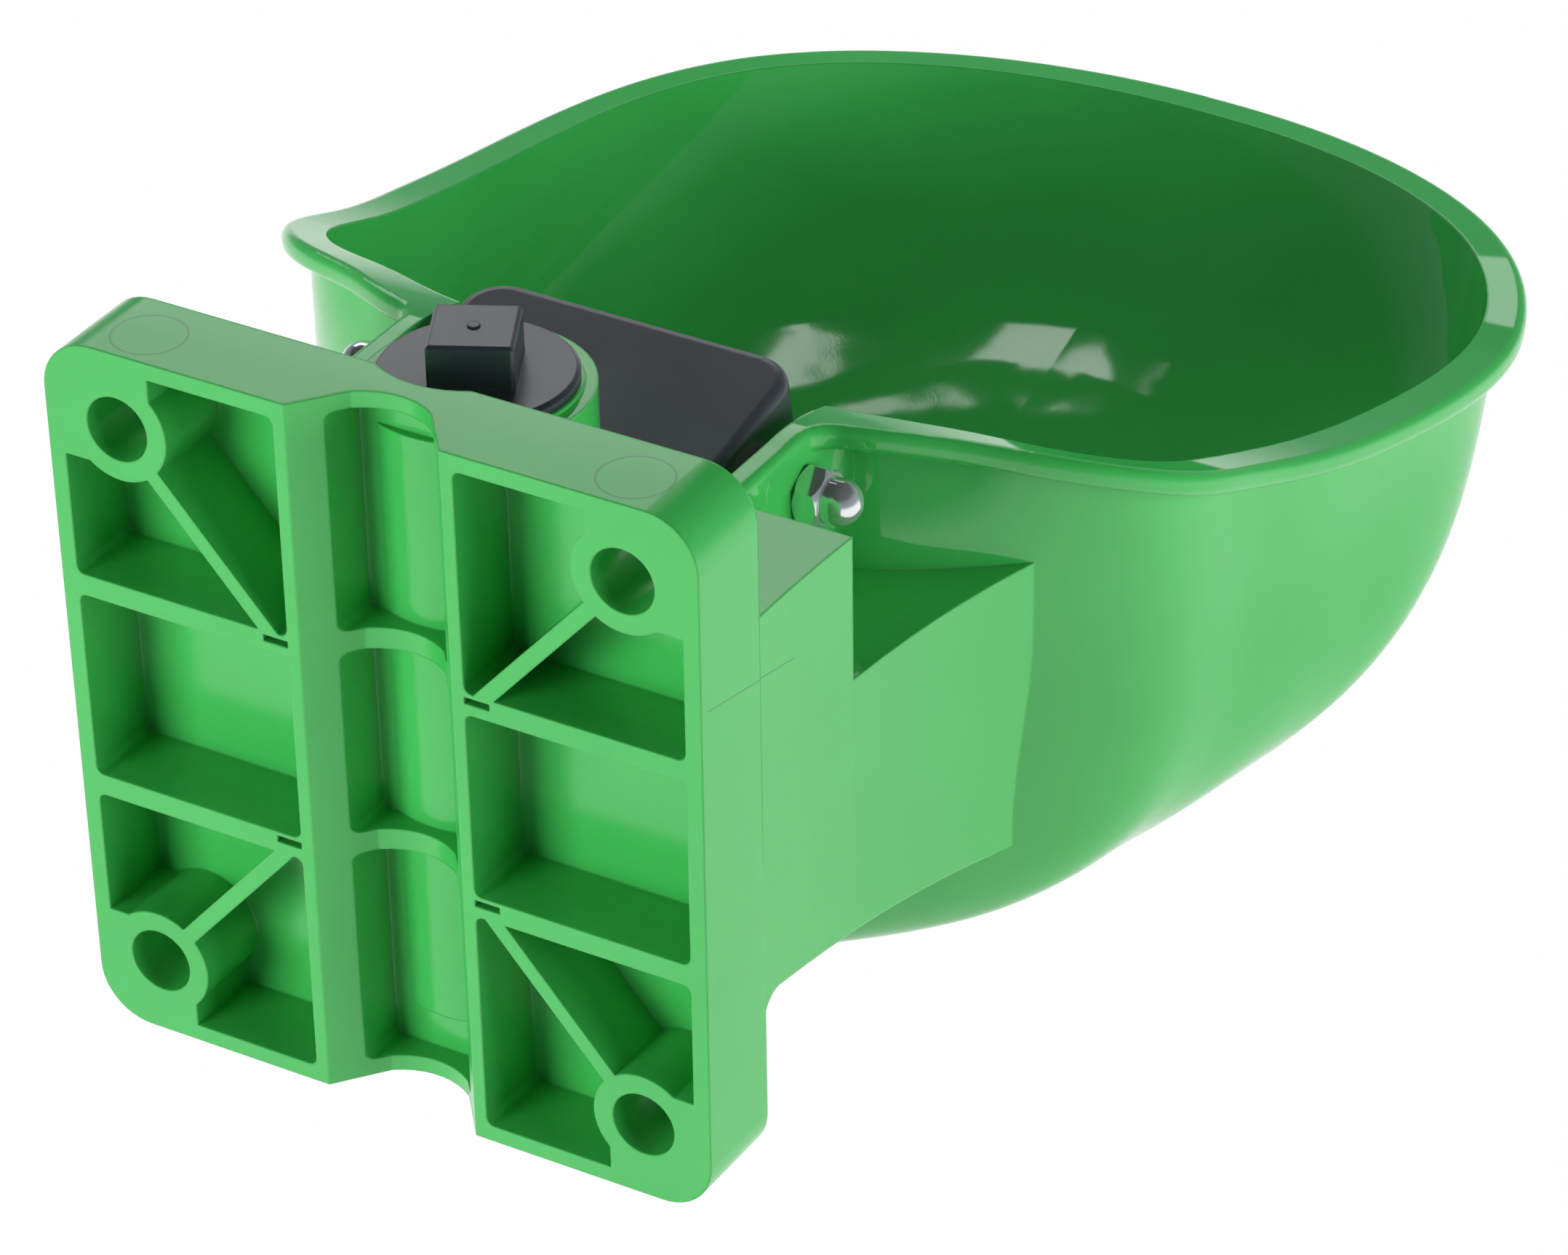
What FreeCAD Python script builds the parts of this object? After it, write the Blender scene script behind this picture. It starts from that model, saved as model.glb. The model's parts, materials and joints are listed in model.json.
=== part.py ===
import FreeCAD, Part
import math
import os
from FreeCAD import Vector

# Livestock drinking bowl with a pressed tongue valve, screwed to a wall.
# Millimetres. Origin: centre of the four wall screw holes, on the back face of
# the wall flange. +Z is up, -Y points away from the wall, X is along the wall.

# Overrun of every cutting shape past the face it opens
OVERRUN = 1.0

# Wall flange
HOLE_SPACING_X = 100.0
HOLE_SPACING_Z = 109.0
HOLE_DIA = 12.3
HOLE_TO_SIDE = 14.7
HOLE_TO_END = 14.7
FLANGE_TAPER = 3.0
FLANGE_DEPTH = 18.7
FLANGE_CORNER_R = 10.0
FLANGE_WALL = 3.2
FLANGE_WEB = 3.2
BOSS_R = 10.0
CORNER_FILL_X = 7.0
CORNER_FILL_Z = 7.8
RIB_UPPER_Z = 20.8
RIB_LOWER_Z = -20.2
RIB_THICK = 4.2
RIB_FOOT = 2.0
DIAGONAL_RIB = 3.0
POCKET_CORNER_R = 1.6
CORE_SLOT_LENGTH = 5.0
CORE_SLOT_HEIGHT = 1.3
CORE_SLOT_DEPTH = 6.0
FLANGE_TOP_WIDTH = HOLE_SPACING_X + 2 * HOLE_TO_SIDE
FLANGE_BOTTOM_WIDTH = FLANGE_TOP_WIDTH - FLANGE_TAPER
FLANGE_HEIGHT = HOLE_SPACING_Z + 2 * HOLE_TO_END

# Pipe channel down the back of the flange
CHANNEL_HALF_WIDTH = 15.3
CHANNEL_DEPTH = 11.6
CHANNEL_FLANK_HALF = 8.0
CHANNEL_FLANK_DEPTH = 9.0
CHANNEL_WALL = 2.4
CHANNEL_CELL_HALF = 11.0

# Water riser: an upright tube behind the bowl, threaded at both ends
RISER_Y = -34.5
RISER_R = 20.5
RISER_FLAT_HALF = 20.0
RISER_HEAD_DROP = 9.2
RISER_FOOT_RISE = 11.2
RISER_BORE_R = 11.0
THREAD_MINOR_DIA = 24.2
THREAD_DEPTH = 17.0
SEAT_COLLAR_R = 18.3
SEAT_COLLAR_HEIGHT = 0.8
RISER_TOP = FLANGE_HEIGHT / 2 - RISER_HEAD_DROP
RISER_BOTTOM = RISER_FOOT_RISE - FLANGE_HEIGHT / 2
PLUG_SEAT_Z = RISER_TOP + SEAT_COLLAR_HEIGHT

# Bowl in plan
WALL = 3.2
BOWL_HALF_WIDTH = 96.0
BOWL_WIDEST_Y = -208.0
BOWL_FRONT_Y = -289.0
BOWL_BACK_Y = -81.0
BOWL_CENTRE_Y = -60.0
EAR_X = 77.5
EAR_Y = -104.0
EAR_DROP = 4.5
SIDE_NARROWING = 12.4
BACK_EASE = 1.0
BACK_EASE_RATIO = 0.6
RIM_POWER = 2.15
FRONT_STEP_COUNT = 6
SIDE_RATIOS = (0.25, 0.5, 0.72, 0.9)

# Bowl in height: the hull turns in below HULL_TOP_Z
HULL_TOP_Z = -7.5
BOWL_FLOOR_Z = -70.7
BOWL_FLOOR_RATIO = 0.985
HULL_RISE = 6.0
HULL_RATIOS = (0.12, 0.32, 0.5, 0.66, 0.79, 0.88, 0.95, BOWL_FLOOR_RATIO)
WIDTH_HOLD_POWER = 3.4
WIDTH_TURN_POWER = 2.5
LENGTH_HOLD_POWER = 1.21
LENGTH_TURN_POWER = 3.33
FRONT_WIDE_RATIO = 0.246
FRONT_WIDE_POWER = 1.7
FLOOR_SLOPE = 0.139
FLOOR_SLOPE_POWER = 2.0
FLOOR_PIVOT_Y = -110.0
FRONT_FLARE_RATIO = 0.145
BACK_LEAN_RATIO = 0.2
BACK_LEAN_RUN = 25.0
BACK_ROUND = 10.0
BACK_HOLD_POWER = 6.4
BACK_TURN_POWER = 2.0

# Rim heights, from the neck round to the front, and the lip under the rim
RIM_BACK_Z = 42.0
RIM_BACK_RUN = 6.0
RIM_NECK_CROWN = 0.3
RIM_NECK_RUN = 15.0
RIM_EAR_Z = 31.8
RIM_SIDE_Z = 14.8
RIM_SIDE_RATIO = 0.404
RIM_TURN_Z = 3.1
RIM_TURN_RATIO = 0.837
RIM_NEAR_Z = -2.9
RIM_NEAR_RATIO = 0.27
RIM_FAR_Z = -5.0
RIM_FAR_RATIO = 0.667
RIM_FRONT_Z = -9.0
RIM_FRONT_RUN = 16.0
LIP_WIDTH = 8.2
LIP_HEIGHT = 4.8
LIP_ROUND = 1.7

# Neck between the bowl and the wall flange
NECK_OUTER_HALF = 42.0
NECK_WALL = 4.5
NECK_FLARE = 2.0
NECK_FLOOR_Z = -14.0
NECK_BACK_Y = -22.0
NECK_CORNER_R = 6.0
NECK_ROOT_R = 3.0

# Hollow block beside the neck: cheeks and two ledges
LEDGE_UPPER_Z = 41.4
LEDGE_UPPER_FRONT_Y = -48.0
LEDGE_LOWER_Z = 13.0
CHEEK_WALL = 3.0
CHEEK_STEP = 0.3
CHEEK_FRONT_Y = -112.0
CHEEK_SWEEP = 15.4
CHEEK_SWEEP_POWER = 2.5
CHEEK_STEP_COUNT = 5
CHEEK_LOW_BACK_Z = -34.9
CHEEK_LOW_SLOPE_RATIO = 0.13
CHEEK_LOW_ROUND = 6.0

# Pivot of the tongue
PIVOT_Y = -71.0
PIVOT_Z = 31.2
AXLE_DIA = 6.0
AXLE_CLEARANCE = 0.05
AXLE_CHAMFER = 0.5
CAP_NUT_FLATS = 10.0
CAP_NUT_HEX_HEIGHT = 5.0
CAP_NUT_HEIGHT = 11.0
CAP_NUT_DOME_DIA = 8.4
CAP_NUT_THREAD_DEPTH = 7.5
CAP_NUT_BORE_ROOM = 0.5
NUT_BEVEL_INSET = 0.2
NUT_BEVEL_RATIO = 0.9

# Tongue: a hollow lever with a roof over the pivot and a long blade
TONGUE_SIDE_GAP = 4.5
TONGUE_WALL = 3.0
TONGUE_REAR_Y = -58.5
TONGUE_FRONT_Y = -86.5
TONGUE_REAR_Z = 40.5
TONGUE_FRONT_Z = 46.5
TONGUE_SKIRT = 8.0
TONGUE_CORNER_R = 8.0
TONGUE_EDGE_R = 2.2
TONGUE_TIP_Y = -101.0
TONGUE_TIP_Z = -42.0
TONGUE_TAPER = 9.0
TONGUE_WAIST_Z = 20.0
TONGUE_TIP_ROUND = 12.0
TONGUE_LUG_R = 7.0
TONGUE_LUG_THICK = 4.0
PRESS_GAP = 0.1
PAD_ROUND = 3.0
PAD_HALF = 6.0
PAD_RIB_UP = 20.0
PAD_RIB_DOWN = 14.0
BUSH_WALL = 1.6
BUSH_COLLAR_R = 6.0
BUSH_CLEARANCE = 0.05
SIDE_PLAY = 0.3
TONGUE_HALF_WIDTH = NECK_OUTER_HALF - NECK_WALL - TONGUE_SIDE_GAP
TONGUE_TIP_HALF = TONGUE_HALF_WIDTH - TONGUE_TAPER

# Valve, on a level axis through the front of the riser
VALVE_Z = 4.0
VALVE_BOSS_R = 16.0
VALVE_BOSS_REACH = 22.0
VALVE_SHANK_DIA = 20.6
VALVE_HEAD_FLATS = 27.0
VALVE_HEAD_THICK = 6.0
VALVE_CHAMBER_DIA = 15.4
VALVE_WEB = 2.0
BODY_SEAL_THICK = 1.5
OUTLET_HOLE_DIA = 2.6
OUTLET_HOLE_COUNT = 6
OUTLET_CIRCLE_R = 5.2
OUTLET_ROOM = 0.1
SEAT_DEPTH = 6.5
SEAT_THICK = 2.0
SEAT_LIP = 0.5
VALVE_SEAT_DIA = 9.6
VALVE_SEAT_WIDTH = 1.1
VALVE_SEAL_THICK = 2.4
VALVE_SEAL_DIA = 13.0
CLIP_DIA = 6.4
CLIP_THICK = 0.8
STEM_DIA = 4.0
STEM_CLEARANCE = 0.05
STEM_REACH = 5.5
STEM_TIP_ROUND = 0.9
STEM_TAIL_GUIDE = 1.0
STEM_HEAD_DIA = 12.4
BACKING_THICK = 1.2
STEM_RING_INSET = 2.8
STEM_RING_THICK = 1.8
STEM_RING_R = 3.4
SPRING_WIRE = 0.9
SPRING_DIA = 9.0
SPRING_LENGTH = 10.0
SPRING_TURN_COUNT = 4.5
SPRING_END_GAP = 0.02
CAP_THICK = 2.0
CAP_BORE = 5.2
CAP_HOLE_COUNT = 6
CAP_HOLE_DIA = 1.6
CAP_CIRCLE_R = 6.2
RING_THICK = 1.0
RING_GRIP = 0.6
RING_WIDTH = 2.4
RING_GAP = 3.0
SHANK_LEDGE = 1.2
VALVE_BOSS_Y = RISER_Y - VALVE_BOSS_REACH
VALVE_HEAD_Y = VALVE_BOSS_Y - BODY_SEAL_THICK
VALVE_FRONT_Y = VALVE_HEAD_Y - VALVE_HEAD_THICK
STEM_TIP_Y = VALVE_FRONT_Y - STEM_REACH
SEAT_FRONT_Y = VALVE_HEAD_Y + SEAT_DEPTH
SEAL_FRONT_Y = SEAT_FRONT_Y + SEAT_THICK + SEAT_LIP
BACKING_Y = SEAL_FRONT_Y + VALVE_SEAL_THICK
SPRING_CAP_Y = BACKING_Y + BACKING_THICK + SPRING_LENGTH
RING_Y = SPRING_CAP_Y + CAP_THICK
SHANK_END_Y = RING_Y + RING_THICK + SHANK_LEDGE

# Top plug
PLUG_DISC_DIA = 35.4
PLUG_DISC_THICK = 2.0
PLUG_DISC_CHAMFER = 0.7
PLUG_SEAL_THICK = 1.5
PLUG_SEAL_DIA = 31.0
PLUG_SEAL_BORE = 26.0
PLUG_SQUARE = 15.0
PLUG_SQUARE_HEIGHT = 8.2
PLUG_SQUARE_ROUND = 0.6
PLUG_TURN_ANGLE = 26.3
PLUG_SHANK_LENGTH = 14.0
PLUG_SHANK_WALL = 3.2
PLUG_ROOM = 0.8
GATE_DIA = 2.2
GATE_HEIGHT = 0.3
THREAD_CLEARANCE = 0.05


def box(x0, x1, y0, y1, z0, z1):
    """A block between two corners."""
    return Part.makeBox(x1 - x0, y1 - y0, z1 - z0, Vector(x0, y0, z0))


def rod(radius, start, end):
    """A round bar from one point to another."""
    return Part.makeCylinder(radius, (end - start).Length, start, end - start)


def sleeve(outer_r, inner_r, start, end):
    """A round bar with a hole through it."""
    return rod(outer_r, start, end).cut(rod(inner_r, start, end))


def mirrored(shape):
    """The same shape on the other side of the middle plane."""
    return shape.mirror(Vector(0, 0, 0), Vector(1, 0, 0))


def both_sides(shape):
    """A shape and its mirror image, joined."""
    return shape.fuse(mirrored(shape))


def regular_polygon(sides, radius, turn):
    """Corners of a closed polygon round the origin, in the X-Y plane."""
    corners = []
    for step in range(sides + 1):
        angle = 2 * math.pi * step / sides + turn
        corners.append(Vector(radius * math.cos(angle), radius * math.sin(angle), 0))
    return Part.makePolygon(corners)


def hexagon(across_flats, start, end):
    """A six-sided bar, a flat facing up."""
    radius = across_flats / 2 / math.cos(math.pi / 6)
    face = Part.Face(regular_polygon(6, radius, 0))
    bar = face.extrude(Vector(0, 0, (end - start).Length))
    turn = FreeCAD.Rotation(Vector(0, 0, 1), end - start)
    bar.Placement = FreeCAD.Placement(start, turn)
    return bar


def spline_edge(points):
    """A smooth curve through points."""
    curve = Part.BSplineCurve()
    curve.interpolate(points)
    return curve.toShape()


def rim_half_plan():
    """Half of the rim's inner edge in plan: front tip, side, ear, back."""
    points = []
    reach = BOWL_WIDEST_Y - BOWL_FRONT_Y
    power = 2 / RIM_POWER
    for step in range(FRONT_STEP_COUNT + 1):
        angle = math.pi / 2 * step / FRONT_STEP_COUNT
        x = BOWL_HALF_WIDTH * math.sin(angle) ** power
        y = BOWL_WIDEST_Y - reach * math.cos(angle) ** power
        points.append((x, y))
    for ratio in SIDE_RATIOS:
        x = BOWL_HALF_WIDTH - SIDE_NARROWING * ratio ** 2
        y = BOWL_WIDEST_Y + (EAR_Y - BOWL_WIDEST_Y) * ratio
        points.append((x, y))
    points.append((EAR_X, EAR_Y))
    corner_x = NECK_OUTER_HALF + NECK_FLARE
    corner_y = BOWL_BACK_Y - EAR_DROP
    points.append(((EAR_X + corner_x) / 2, (EAR_Y + corner_y) / 2))
    points.append((corner_x, corner_y))
    points.append((corner_x * BACK_EASE_RATIO, BOWL_BACK_Y - BACK_EASE))
    points.append((0.0, BOWL_BACK_Y))
    return points


def grown(points, distance):
    """A half plan moved outwards along its normals."""
    moved = []
    last = len(points) - 1
    for index, (x, y) in enumerate(points):
        x0, y0 = points[max(index - 1, 0)]
        x1, y1 = points[min(index + 1, last)]
        if index == 0:
            x0, y0 = -x1, y1
        if index == last:
            x1, y1 = -x0, y0
        length = math.hypot(x1 - x0, y1 - y0)
        moved.append((x + distance * (y1 - y0) / length, y - distance * (x1 - x0) / length))
    return moved


def both_halves(half, z):
    """All points of a closed plan from those of its half."""
    right = [Vector(x, y, z) for x, y in half]
    return right + [Vector(-x, y, z) for x, y in reversed(half[1:-1])]


def plan_parameters():
    """Lengths along the rim, so that every section is spaced alike."""
    points = both_halves(rim_half_plan(), 0)
    lengths = [0.0]
    for here, following in zip(points, points[1:] + points[:1]):
        lengths.append(lengths[-1] + (following - here).Length)
    return lengths


def closed_plan(half, z, slope=0.0):
    """A closed smooth wire from a half plan, level or rising to the front."""
    curve = Part.BSplineCurve()
    level = both_halves(half, z)
    points = [point + Vector(0, 0, slope * (FLOOR_PIVOT_Y - point.y)) for point in level]
    curve.interpolate(Points=points, Parameters=plan_parameters(), PeriodicFlag=True)
    return Part.Wire(curve.toShape())


def hull_section(z, grow, floor):
    """The bowl's plan at one height, narrowed towards its floor."""
    depth = min((HULL_TOP_Z - z) / (HULL_TOP_Z - floor), BOWL_FLOOR_RATIO)
    below = max(depth, 0.0)
    width = (1 - below ** WIDTH_HOLD_POWER) ** (1 / WIDTH_TURN_POWER)
    length = (1 - below ** LENGTH_HOLD_POWER) ** (1 / LENGTH_TURN_POWER)
    back_in = BACK_ROUND * (1 - (1 - below ** BACK_HOLD_POWER) ** (1 / BACK_TURN_POWER))
    widening = FRONT_WIDE_RATIO * below ** FRONT_WIDE_POWER
    lean = min(max((RIM_EAR_Z - z) / (RIM_EAR_Z - LEDGE_LOWER_Z), 0.0), 1.0)
    half = []
    for x, y in grown(rim_half_plan(), grow):
        forward = min(max((EAR_Y - y) / (EAR_Y - BOWL_WIDEST_Y), 0.0), 1.0)
        reach = (y - BOWL_CENTRE_Y) * (length - FRONT_FLARE_RATIO * min(depth, 0.0) * forward)
        if y > EAR_Y:
            inward = min(1.0, (EAR_X + grow - x) / BACK_LEAN_RUN)
            reach *= 1 - BACK_LEAN_RATIO * lean * inward
        across = x * width * (1 + widening * forward)
        half.append((across, BOWL_CENTRE_Y + reach - back_in * (1 - forward)))
    return closed_plan(half, z, FLOOR_SLOPE * below ** FLOOR_SLOPE_POWER)


def hull(grow, floor):
    """The closed form of the bowl, from its floor to above its rim."""
    heights = [RIM_BACK_Z + HULL_RISE, RIM_EAR_Z, LEDGE_LOWER_Z, HULL_TOP_Z / 2]
    drop = floor - HULL_TOP_Z
    heights += [HULL_TOP_Z + drop * ratio for ratio in HULL_RATIOS]
    return Part.makeLoft([hull_section(z, grow, floor) for z in heights], True, False)


def rim_curve(drop):
    """The rim's height along the bowl, as a curve in the middle plane."""
    side = BOWL_WIDEST_Y - EAR_Y
    front = BOWL_FRONT_Y - BOWL_WIDEST_Y
    line = [
        (BOWL_BACK_Y + RIM_NECK_RUN, RIM_BACK_Z + RIM_NECK_CROWN),
        (BOWL_BACK_Y + RIM_BACK_RUN, RIM_BACK_Z),
        (EAR_Y, RIM_EAR_Z),
        (EAR_Y + side * RIM_SIDE_RATIO, RIM_SIDE_Z),
        (EAR_Y + side * RIM_TURN_RATIO, RIM_TURN_Z),
        (BOWL_WIDEST_Y + front * RIM_NEAR_RATIO, RIM_NEAR_Z),
        (BOWL_WIDEST_Y + front * RIM_FAR_RATIO, RIM_FAR_Z),
        (BOWL_FRONT_Y - RIM_FRONT_RUN, RIM_FRONT_Z),
        (BOWL_FRONT_Y - RIM_FRONT_RUN * 3, RIM_FRONT_Z),
    ]
    return spline_edge([Vector(0, y, z - drop) for y, z in line])


def above_rim(drop):
    """All that lies above the rim, lowered by a drop."""
    edge = rim_curve(drop)
    start = edge.valueAt(edge.FirstParameter)
    end = edge.valueAt(edge.LastParameter)
    top = RIM_BACK_Z + FLANGE_HEIGHT
    back = Vector(0, FLANGE_DEPTH, start.z)
    corners = [end, Vector(0, end.y, top), Vector(0, back.y, top), back, start]
    face = Part.Face(Part.Wire([edge] + Part.makePolygon(corners).Edges))
    half = BOWL_HALF_WIDTH + 2 * LIP_WIDTH
    face.translate(Vector(-half, 0, 0))
    return face.extrude(Vector(2 * half, 0, 0))


def flange_block():
    """The flange as a solid plate with rounded corners, narrowing downwards."""
    top = FLANGE_TOP_WIDTH / 2
    bottom = FLANGE_BOTTOM_WIDTH / 2
    high = FLANGE_HEIGHT / 2
    outline = wall_plane_face([(-top, high), (top, high), (bottom, -high), (-bottom, -high)])
    plate = outline.extrude(Vector(0, -FLANGE_DEPTH, 0))
    level = [e for e in plate.Edges if abs(e.tangentAt(e.FirstParameter).y) > 0.99]
    return plate.makeFillet(FLANGE_CORNER_R, level)


def wall_plane_face(corners):
    """A flat face on the wall plane from x, z corners."""
    closed = corners + corners[:1]
    return Part.Face(Part.makePolygon([Vector(x, 0, z) for x, z in closed]))


def channel():
    """The open channel for a water pipe: sloping flanks and a round bottom."""
    half = CHANNEL_HALF_WIDTH
    low = -FLANGE_HEIGHT
    flank = Vector(CHANNEL_FLANK_HALF, -CHANNEL_FLANK_DEPTH, low)
    left = Vector(-CHANNEL_FLANK_HALF, -CHANNEL_FLANK_DEPTH, low)
    bottom = Part.Arc(flank, Vector(0, -CHANNEL_DEPTH, low), left).toShape()
    rest = Part.makePolygon([
        left,
        Vector(-half, 0, low),
        Vector(-half, OVERRUN, low),
        Vector(half, OVERRUN, low),
        Vector(half, 0, low),
        flank,
    ])
    groove = Part.Face(Part.Wire([bottom] + rest.Edges))
    return groove.extrude(Vector(0, 0, -2 * low))


def rounded_prism(face, radius, depth):
    """A pocket with its corners rounded, cut forwards from the back face."""
    inner = face.makeOffset2D(-radius)
    face = inner.makeOffset2D(radius)
    return face.extrude(Vector(0, -depth, 0))


def rib_levels():
    """Heights of the pockets' lower and upper edges, from the bottom up."""
    low = -FLANGE_HEIGHT / 2 + FLANGE_WALL
    half = RIB_THICK / 2
    return [
        (low, RIB_LOWER_Z - half),
        (RIB_LOWER_Z + half, RIB_UPPER_Z - half),
        (RIB_UPPER_Z + half, -low),
    ]


def flange_half(z):
    """Half the flange's width at one height."""
    return FLANGE_TOP_WIDTH / 2 - FLANGE_TAPER / 2 * (FLANGE_HEIGHT / 2 - z) / FLANGE_HEIGHT


def hole_corner(sign):
    """What fills a flange corner: the ring round the hole, its web and its rib."""
    x = HOLE_SPACING_X / 2
    z = sign * HOLE_SPACING_Z / 2
    edge = FLANGE_TOP_WIDTH / 2
    top = sign * FLANGE_HEIGHT / 2
    start = Vector(x, OVERRUN, z)
    fill = rod(BOSS_R, start, start - Vector(0, FLANGE_DEPTH, 0))
    across = sorted([z, top])
    side = sorted([z - sign * CORNER_FILL_Z, top])
    fill = fill.fuse(box(x - CORNER_FILL_X, edge, -FLANGE_DEPTH, OVERRUN, *across))
    fill = fill.fuse(box(x, edge, -FLANGE_DEPTH, OVERRUN, *side))
    foot_x = CHANNEL_HALF_WIDTH + CHANNEL_WALL + RIB_FOOT
    foot_z = RIB_UPPER_Z if sign > 0 else RIB_LOWER_Z
    run = Vector(foot_x - x, 0, foot_z - z)
    across_rib = Vector(-run.z, 0, run.x).normalize() * (DIAGONAL_RIB / 2)
    hub = Vector(x, 0, z)
    foot = hub + run
    ends = [hub + across_rib, foot + across_rib, foot - across_rib, hub - across_rib]
    rib = wall_plane_face([(p.x, p.z) for p in ends])
    return fill.fuse(rib.extrude(Vector(0, -FLANGE_DEPTH, 0)))


def side_pockets():
    """The pockets on one side of the channel, open towards the wall."""
    depth = FLANGE_DEPTH - FLANGE_WEB
    inner_x = CHANNEL_HALF_WIDTH + CHANNEL_WALL
    pockets = None
    for low, high in rib_levels():
        outer_low = flange_half(low) - FLANGE_WALL
        outer_high = flange_half(high) - FLANGE_WALL
        corners = [(inner_x, low), (outer_low, low), (outer_high, high), (inner_x, high)]
        cell = rounded_prism(wall_plane_face(corners), POCKET_CORNER_R, depth)
        pockets = cell if pockets is None else pockets.fuse(cell)
    return pockets.cut(hole_corner(1)).cut(hole_corner(-1))


def core_slots():
    """Small slots where the diagonal ribs meet the level ribs."""
    start = CHANNEL_HALF_WIDTH + CHANNEL_WALL
    end = start + CORE_SLOT_LENGTH
    slots = []
    for low in (RIB_UPPER_Z, RIB_LOWER_Z):
        slots.append(box(start, end, -CORE_SLOT_DEPTH, OVERRUN, low, low + CORE_SLOT_HEIGHT))
    return slots[0].fuse(slots[1])


def channel_pockets():
    """The three pockets between the channel's flanks."""
    pockets = None
    depth = FLANGE_DEPTH - FLANGE_WEB
    half = CHANNEL_CELL_HALF
    for low, high in rib_levels():
        corners = [(-half, low), (half, low), (half, high), (-half, high)]
        cell = rounded_prism(wall_plane_face(corners), POCKET_CORNER_R, depth)
        pockets = cell if pockets is None else pockets.fuse(cell)
    return pockets


def screw_holes():
    """The four wall screw holes."""
    holes = []
    front = -FLANGE_DEPTH - OVERRUN
    for x in (-HOLE_SPACING_X / 2, HOLE_SPACING_X / 2):
        for z in (-HOLE_SPACING_Z / 2, HOLE_SPACING_Z / 2):
            holes.append(rod(HOLE_DIA / 2, Vector(x, OVERRUN, z), Vector(x, front, z)))
    return holes


def wall_flange():
    """The ribbed box that is screwed to the wall."""
    plate = flange_block()
    plate = plate.cut(both_sides(side_pockets()))
    plate = plate.cut(channel_pockets())
    plate = plate.cut(channel())
    plate = plate.cut(both_sides(core_slots()))
    plug_room = PLUG_DISC_DIA / 2 + PLUG_ROOM
    scallop = rod(plug_room, riser_axis(RISER_TOP), riser_axis(FLANGE_HEIGHT))
    return plate.cut(scallop).cut(screw_holes())


def cheek_face(inset, z):
    """Plan of the block between flange and bowl, one side."""
    side = flange_half(z) - CHEEK_STEP - inset
    run = CHEEK_FRONT_Y + FLANGE_DEPTH
    points = []
    for step in range(CHEEK_STEP_COUNT + 1):
        ratio = step / CHEEK_STEP_COUNT
        x = side + CHEEK_SWEEP * ratio ** CHEEK_SWEEP_POWER
        points.append(Vector(x, -FLANGE_DEPTH + run * ratio, z))
    end = points[-1]
    inner = -WALL
    corners = [
        end,
        Vector(inner, end.y, z),
        Vector(inner, -FLANGE_DEPTH, z),
        Vector(side, -FLANGE_DEPTH, z),
    ]
    return Part.Face(Part.Wire([spline_edge(points)] + Part.makePolygon(corners).Edges))


def cheek_prism(inset, low, high):
    """The cheek plan between two heights, widening upwards with the flange."""
    wider = flange_half(high) - flange_half(low)
    return cheek_face(inset, low).extrude(Vector(wider, 0, high - low))


def below_cheek():
    """All that lies below the cheek's sloping lower edge, rounded at the flange."""
    back = -FLANGE_DEPTH
    front = 2 * CHEEK_FRONT_Y
    low = -FLANGE_HEIGHT
    slope = CHEEK_LOW_SLOPE_RATIO
    level = CHEEK_LOW_BACK_Z
    corners = [
        Vector(0, back, level - CHEEK_LOW_ROUND),
        Vector(0, back - CHEEK_LOW_ROUND, level - slope * CHEEK_LOW_ROUND),
        Vector(0, front, level + slope * (front - back)),
        Vector(0, front, low),
        Vector(0, back, low),
    ]
    turn = Vector(0, back - CHEEK_LOW_ROUND, level - CHEEK_LOW_ROUND)
    middle = turn + Vector(0, 1, 1).normalize() * CHEEK_LOW_ROUND
    bend = Part.Arc(corners[0], middle, corners[1]).toShape()
    rest = Part.makePolygon(corners[1:] + corners[:1])
    face = Part.Face(Part.Wire([bend] + rest.Edges))
    face.translate(Vector(-WALL - OVERRUN, 0, 0))
    return face.extrude(Vector(FLANGE_TOP_WIDTH, 0, 0))


def side_block():
    """One side of the hollow block: cheek, lower ledge and upper ledge."""
    low = BOWL_FLOOR_Z
    wide = FLANGE_TOP_WIDTH
    front = LEDGE_UPPER_FRONT_Y
    behind = box(-wide, wide, front, 0, low, LEDGE_UPPER_Z)
    behind_wall = box(-wide, wide, front + CHEEK_WALL, 0, low, LEDGE_UPPER_Z)
    block = cheek_prism(0, low, LEDGE_LOWER_Z)
    block = block.fuse(cheek_prism(0, low, LEDGE_UPPER_Z).common(behind))
    hollow = cheek_prism(CHEEK_WALL, low, LEDGE_LOWER_Z - CHEEK_WALL)
    tall = cheek_prism(CHEEK_WALL, low, LEDGE_UPPER_Z - CHEEK_WALL).common(behind_wall)
    return block.cut(hollow.fuse(tall)).cut(below_cheek())


def riser_axis(z):
    """A point on the riser's axis."""
    return Vector(0, RISER_Y, z)


def riser_outer():
    """The upright water tube with flat flanks back to the flange."""
    tube = rod(RISER_R, riser_axis(RISER_BOTTOM), riser_axis(RISER_TOP))
    half = RISER_FLAT_HALF
    back = box(-half, half, RISER_Y, -FLANGE_DEPTH + OVERRUN, NECK_FLOOR_Z, RISER_TOP)
    collar = rod(SEAT_COLLAR_R, riser_axis(RISER_TOP - OVERRUN), riser_axis(PLUG_SEAT_Z))
    return tube.fuse(back).fuse(collar)


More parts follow.
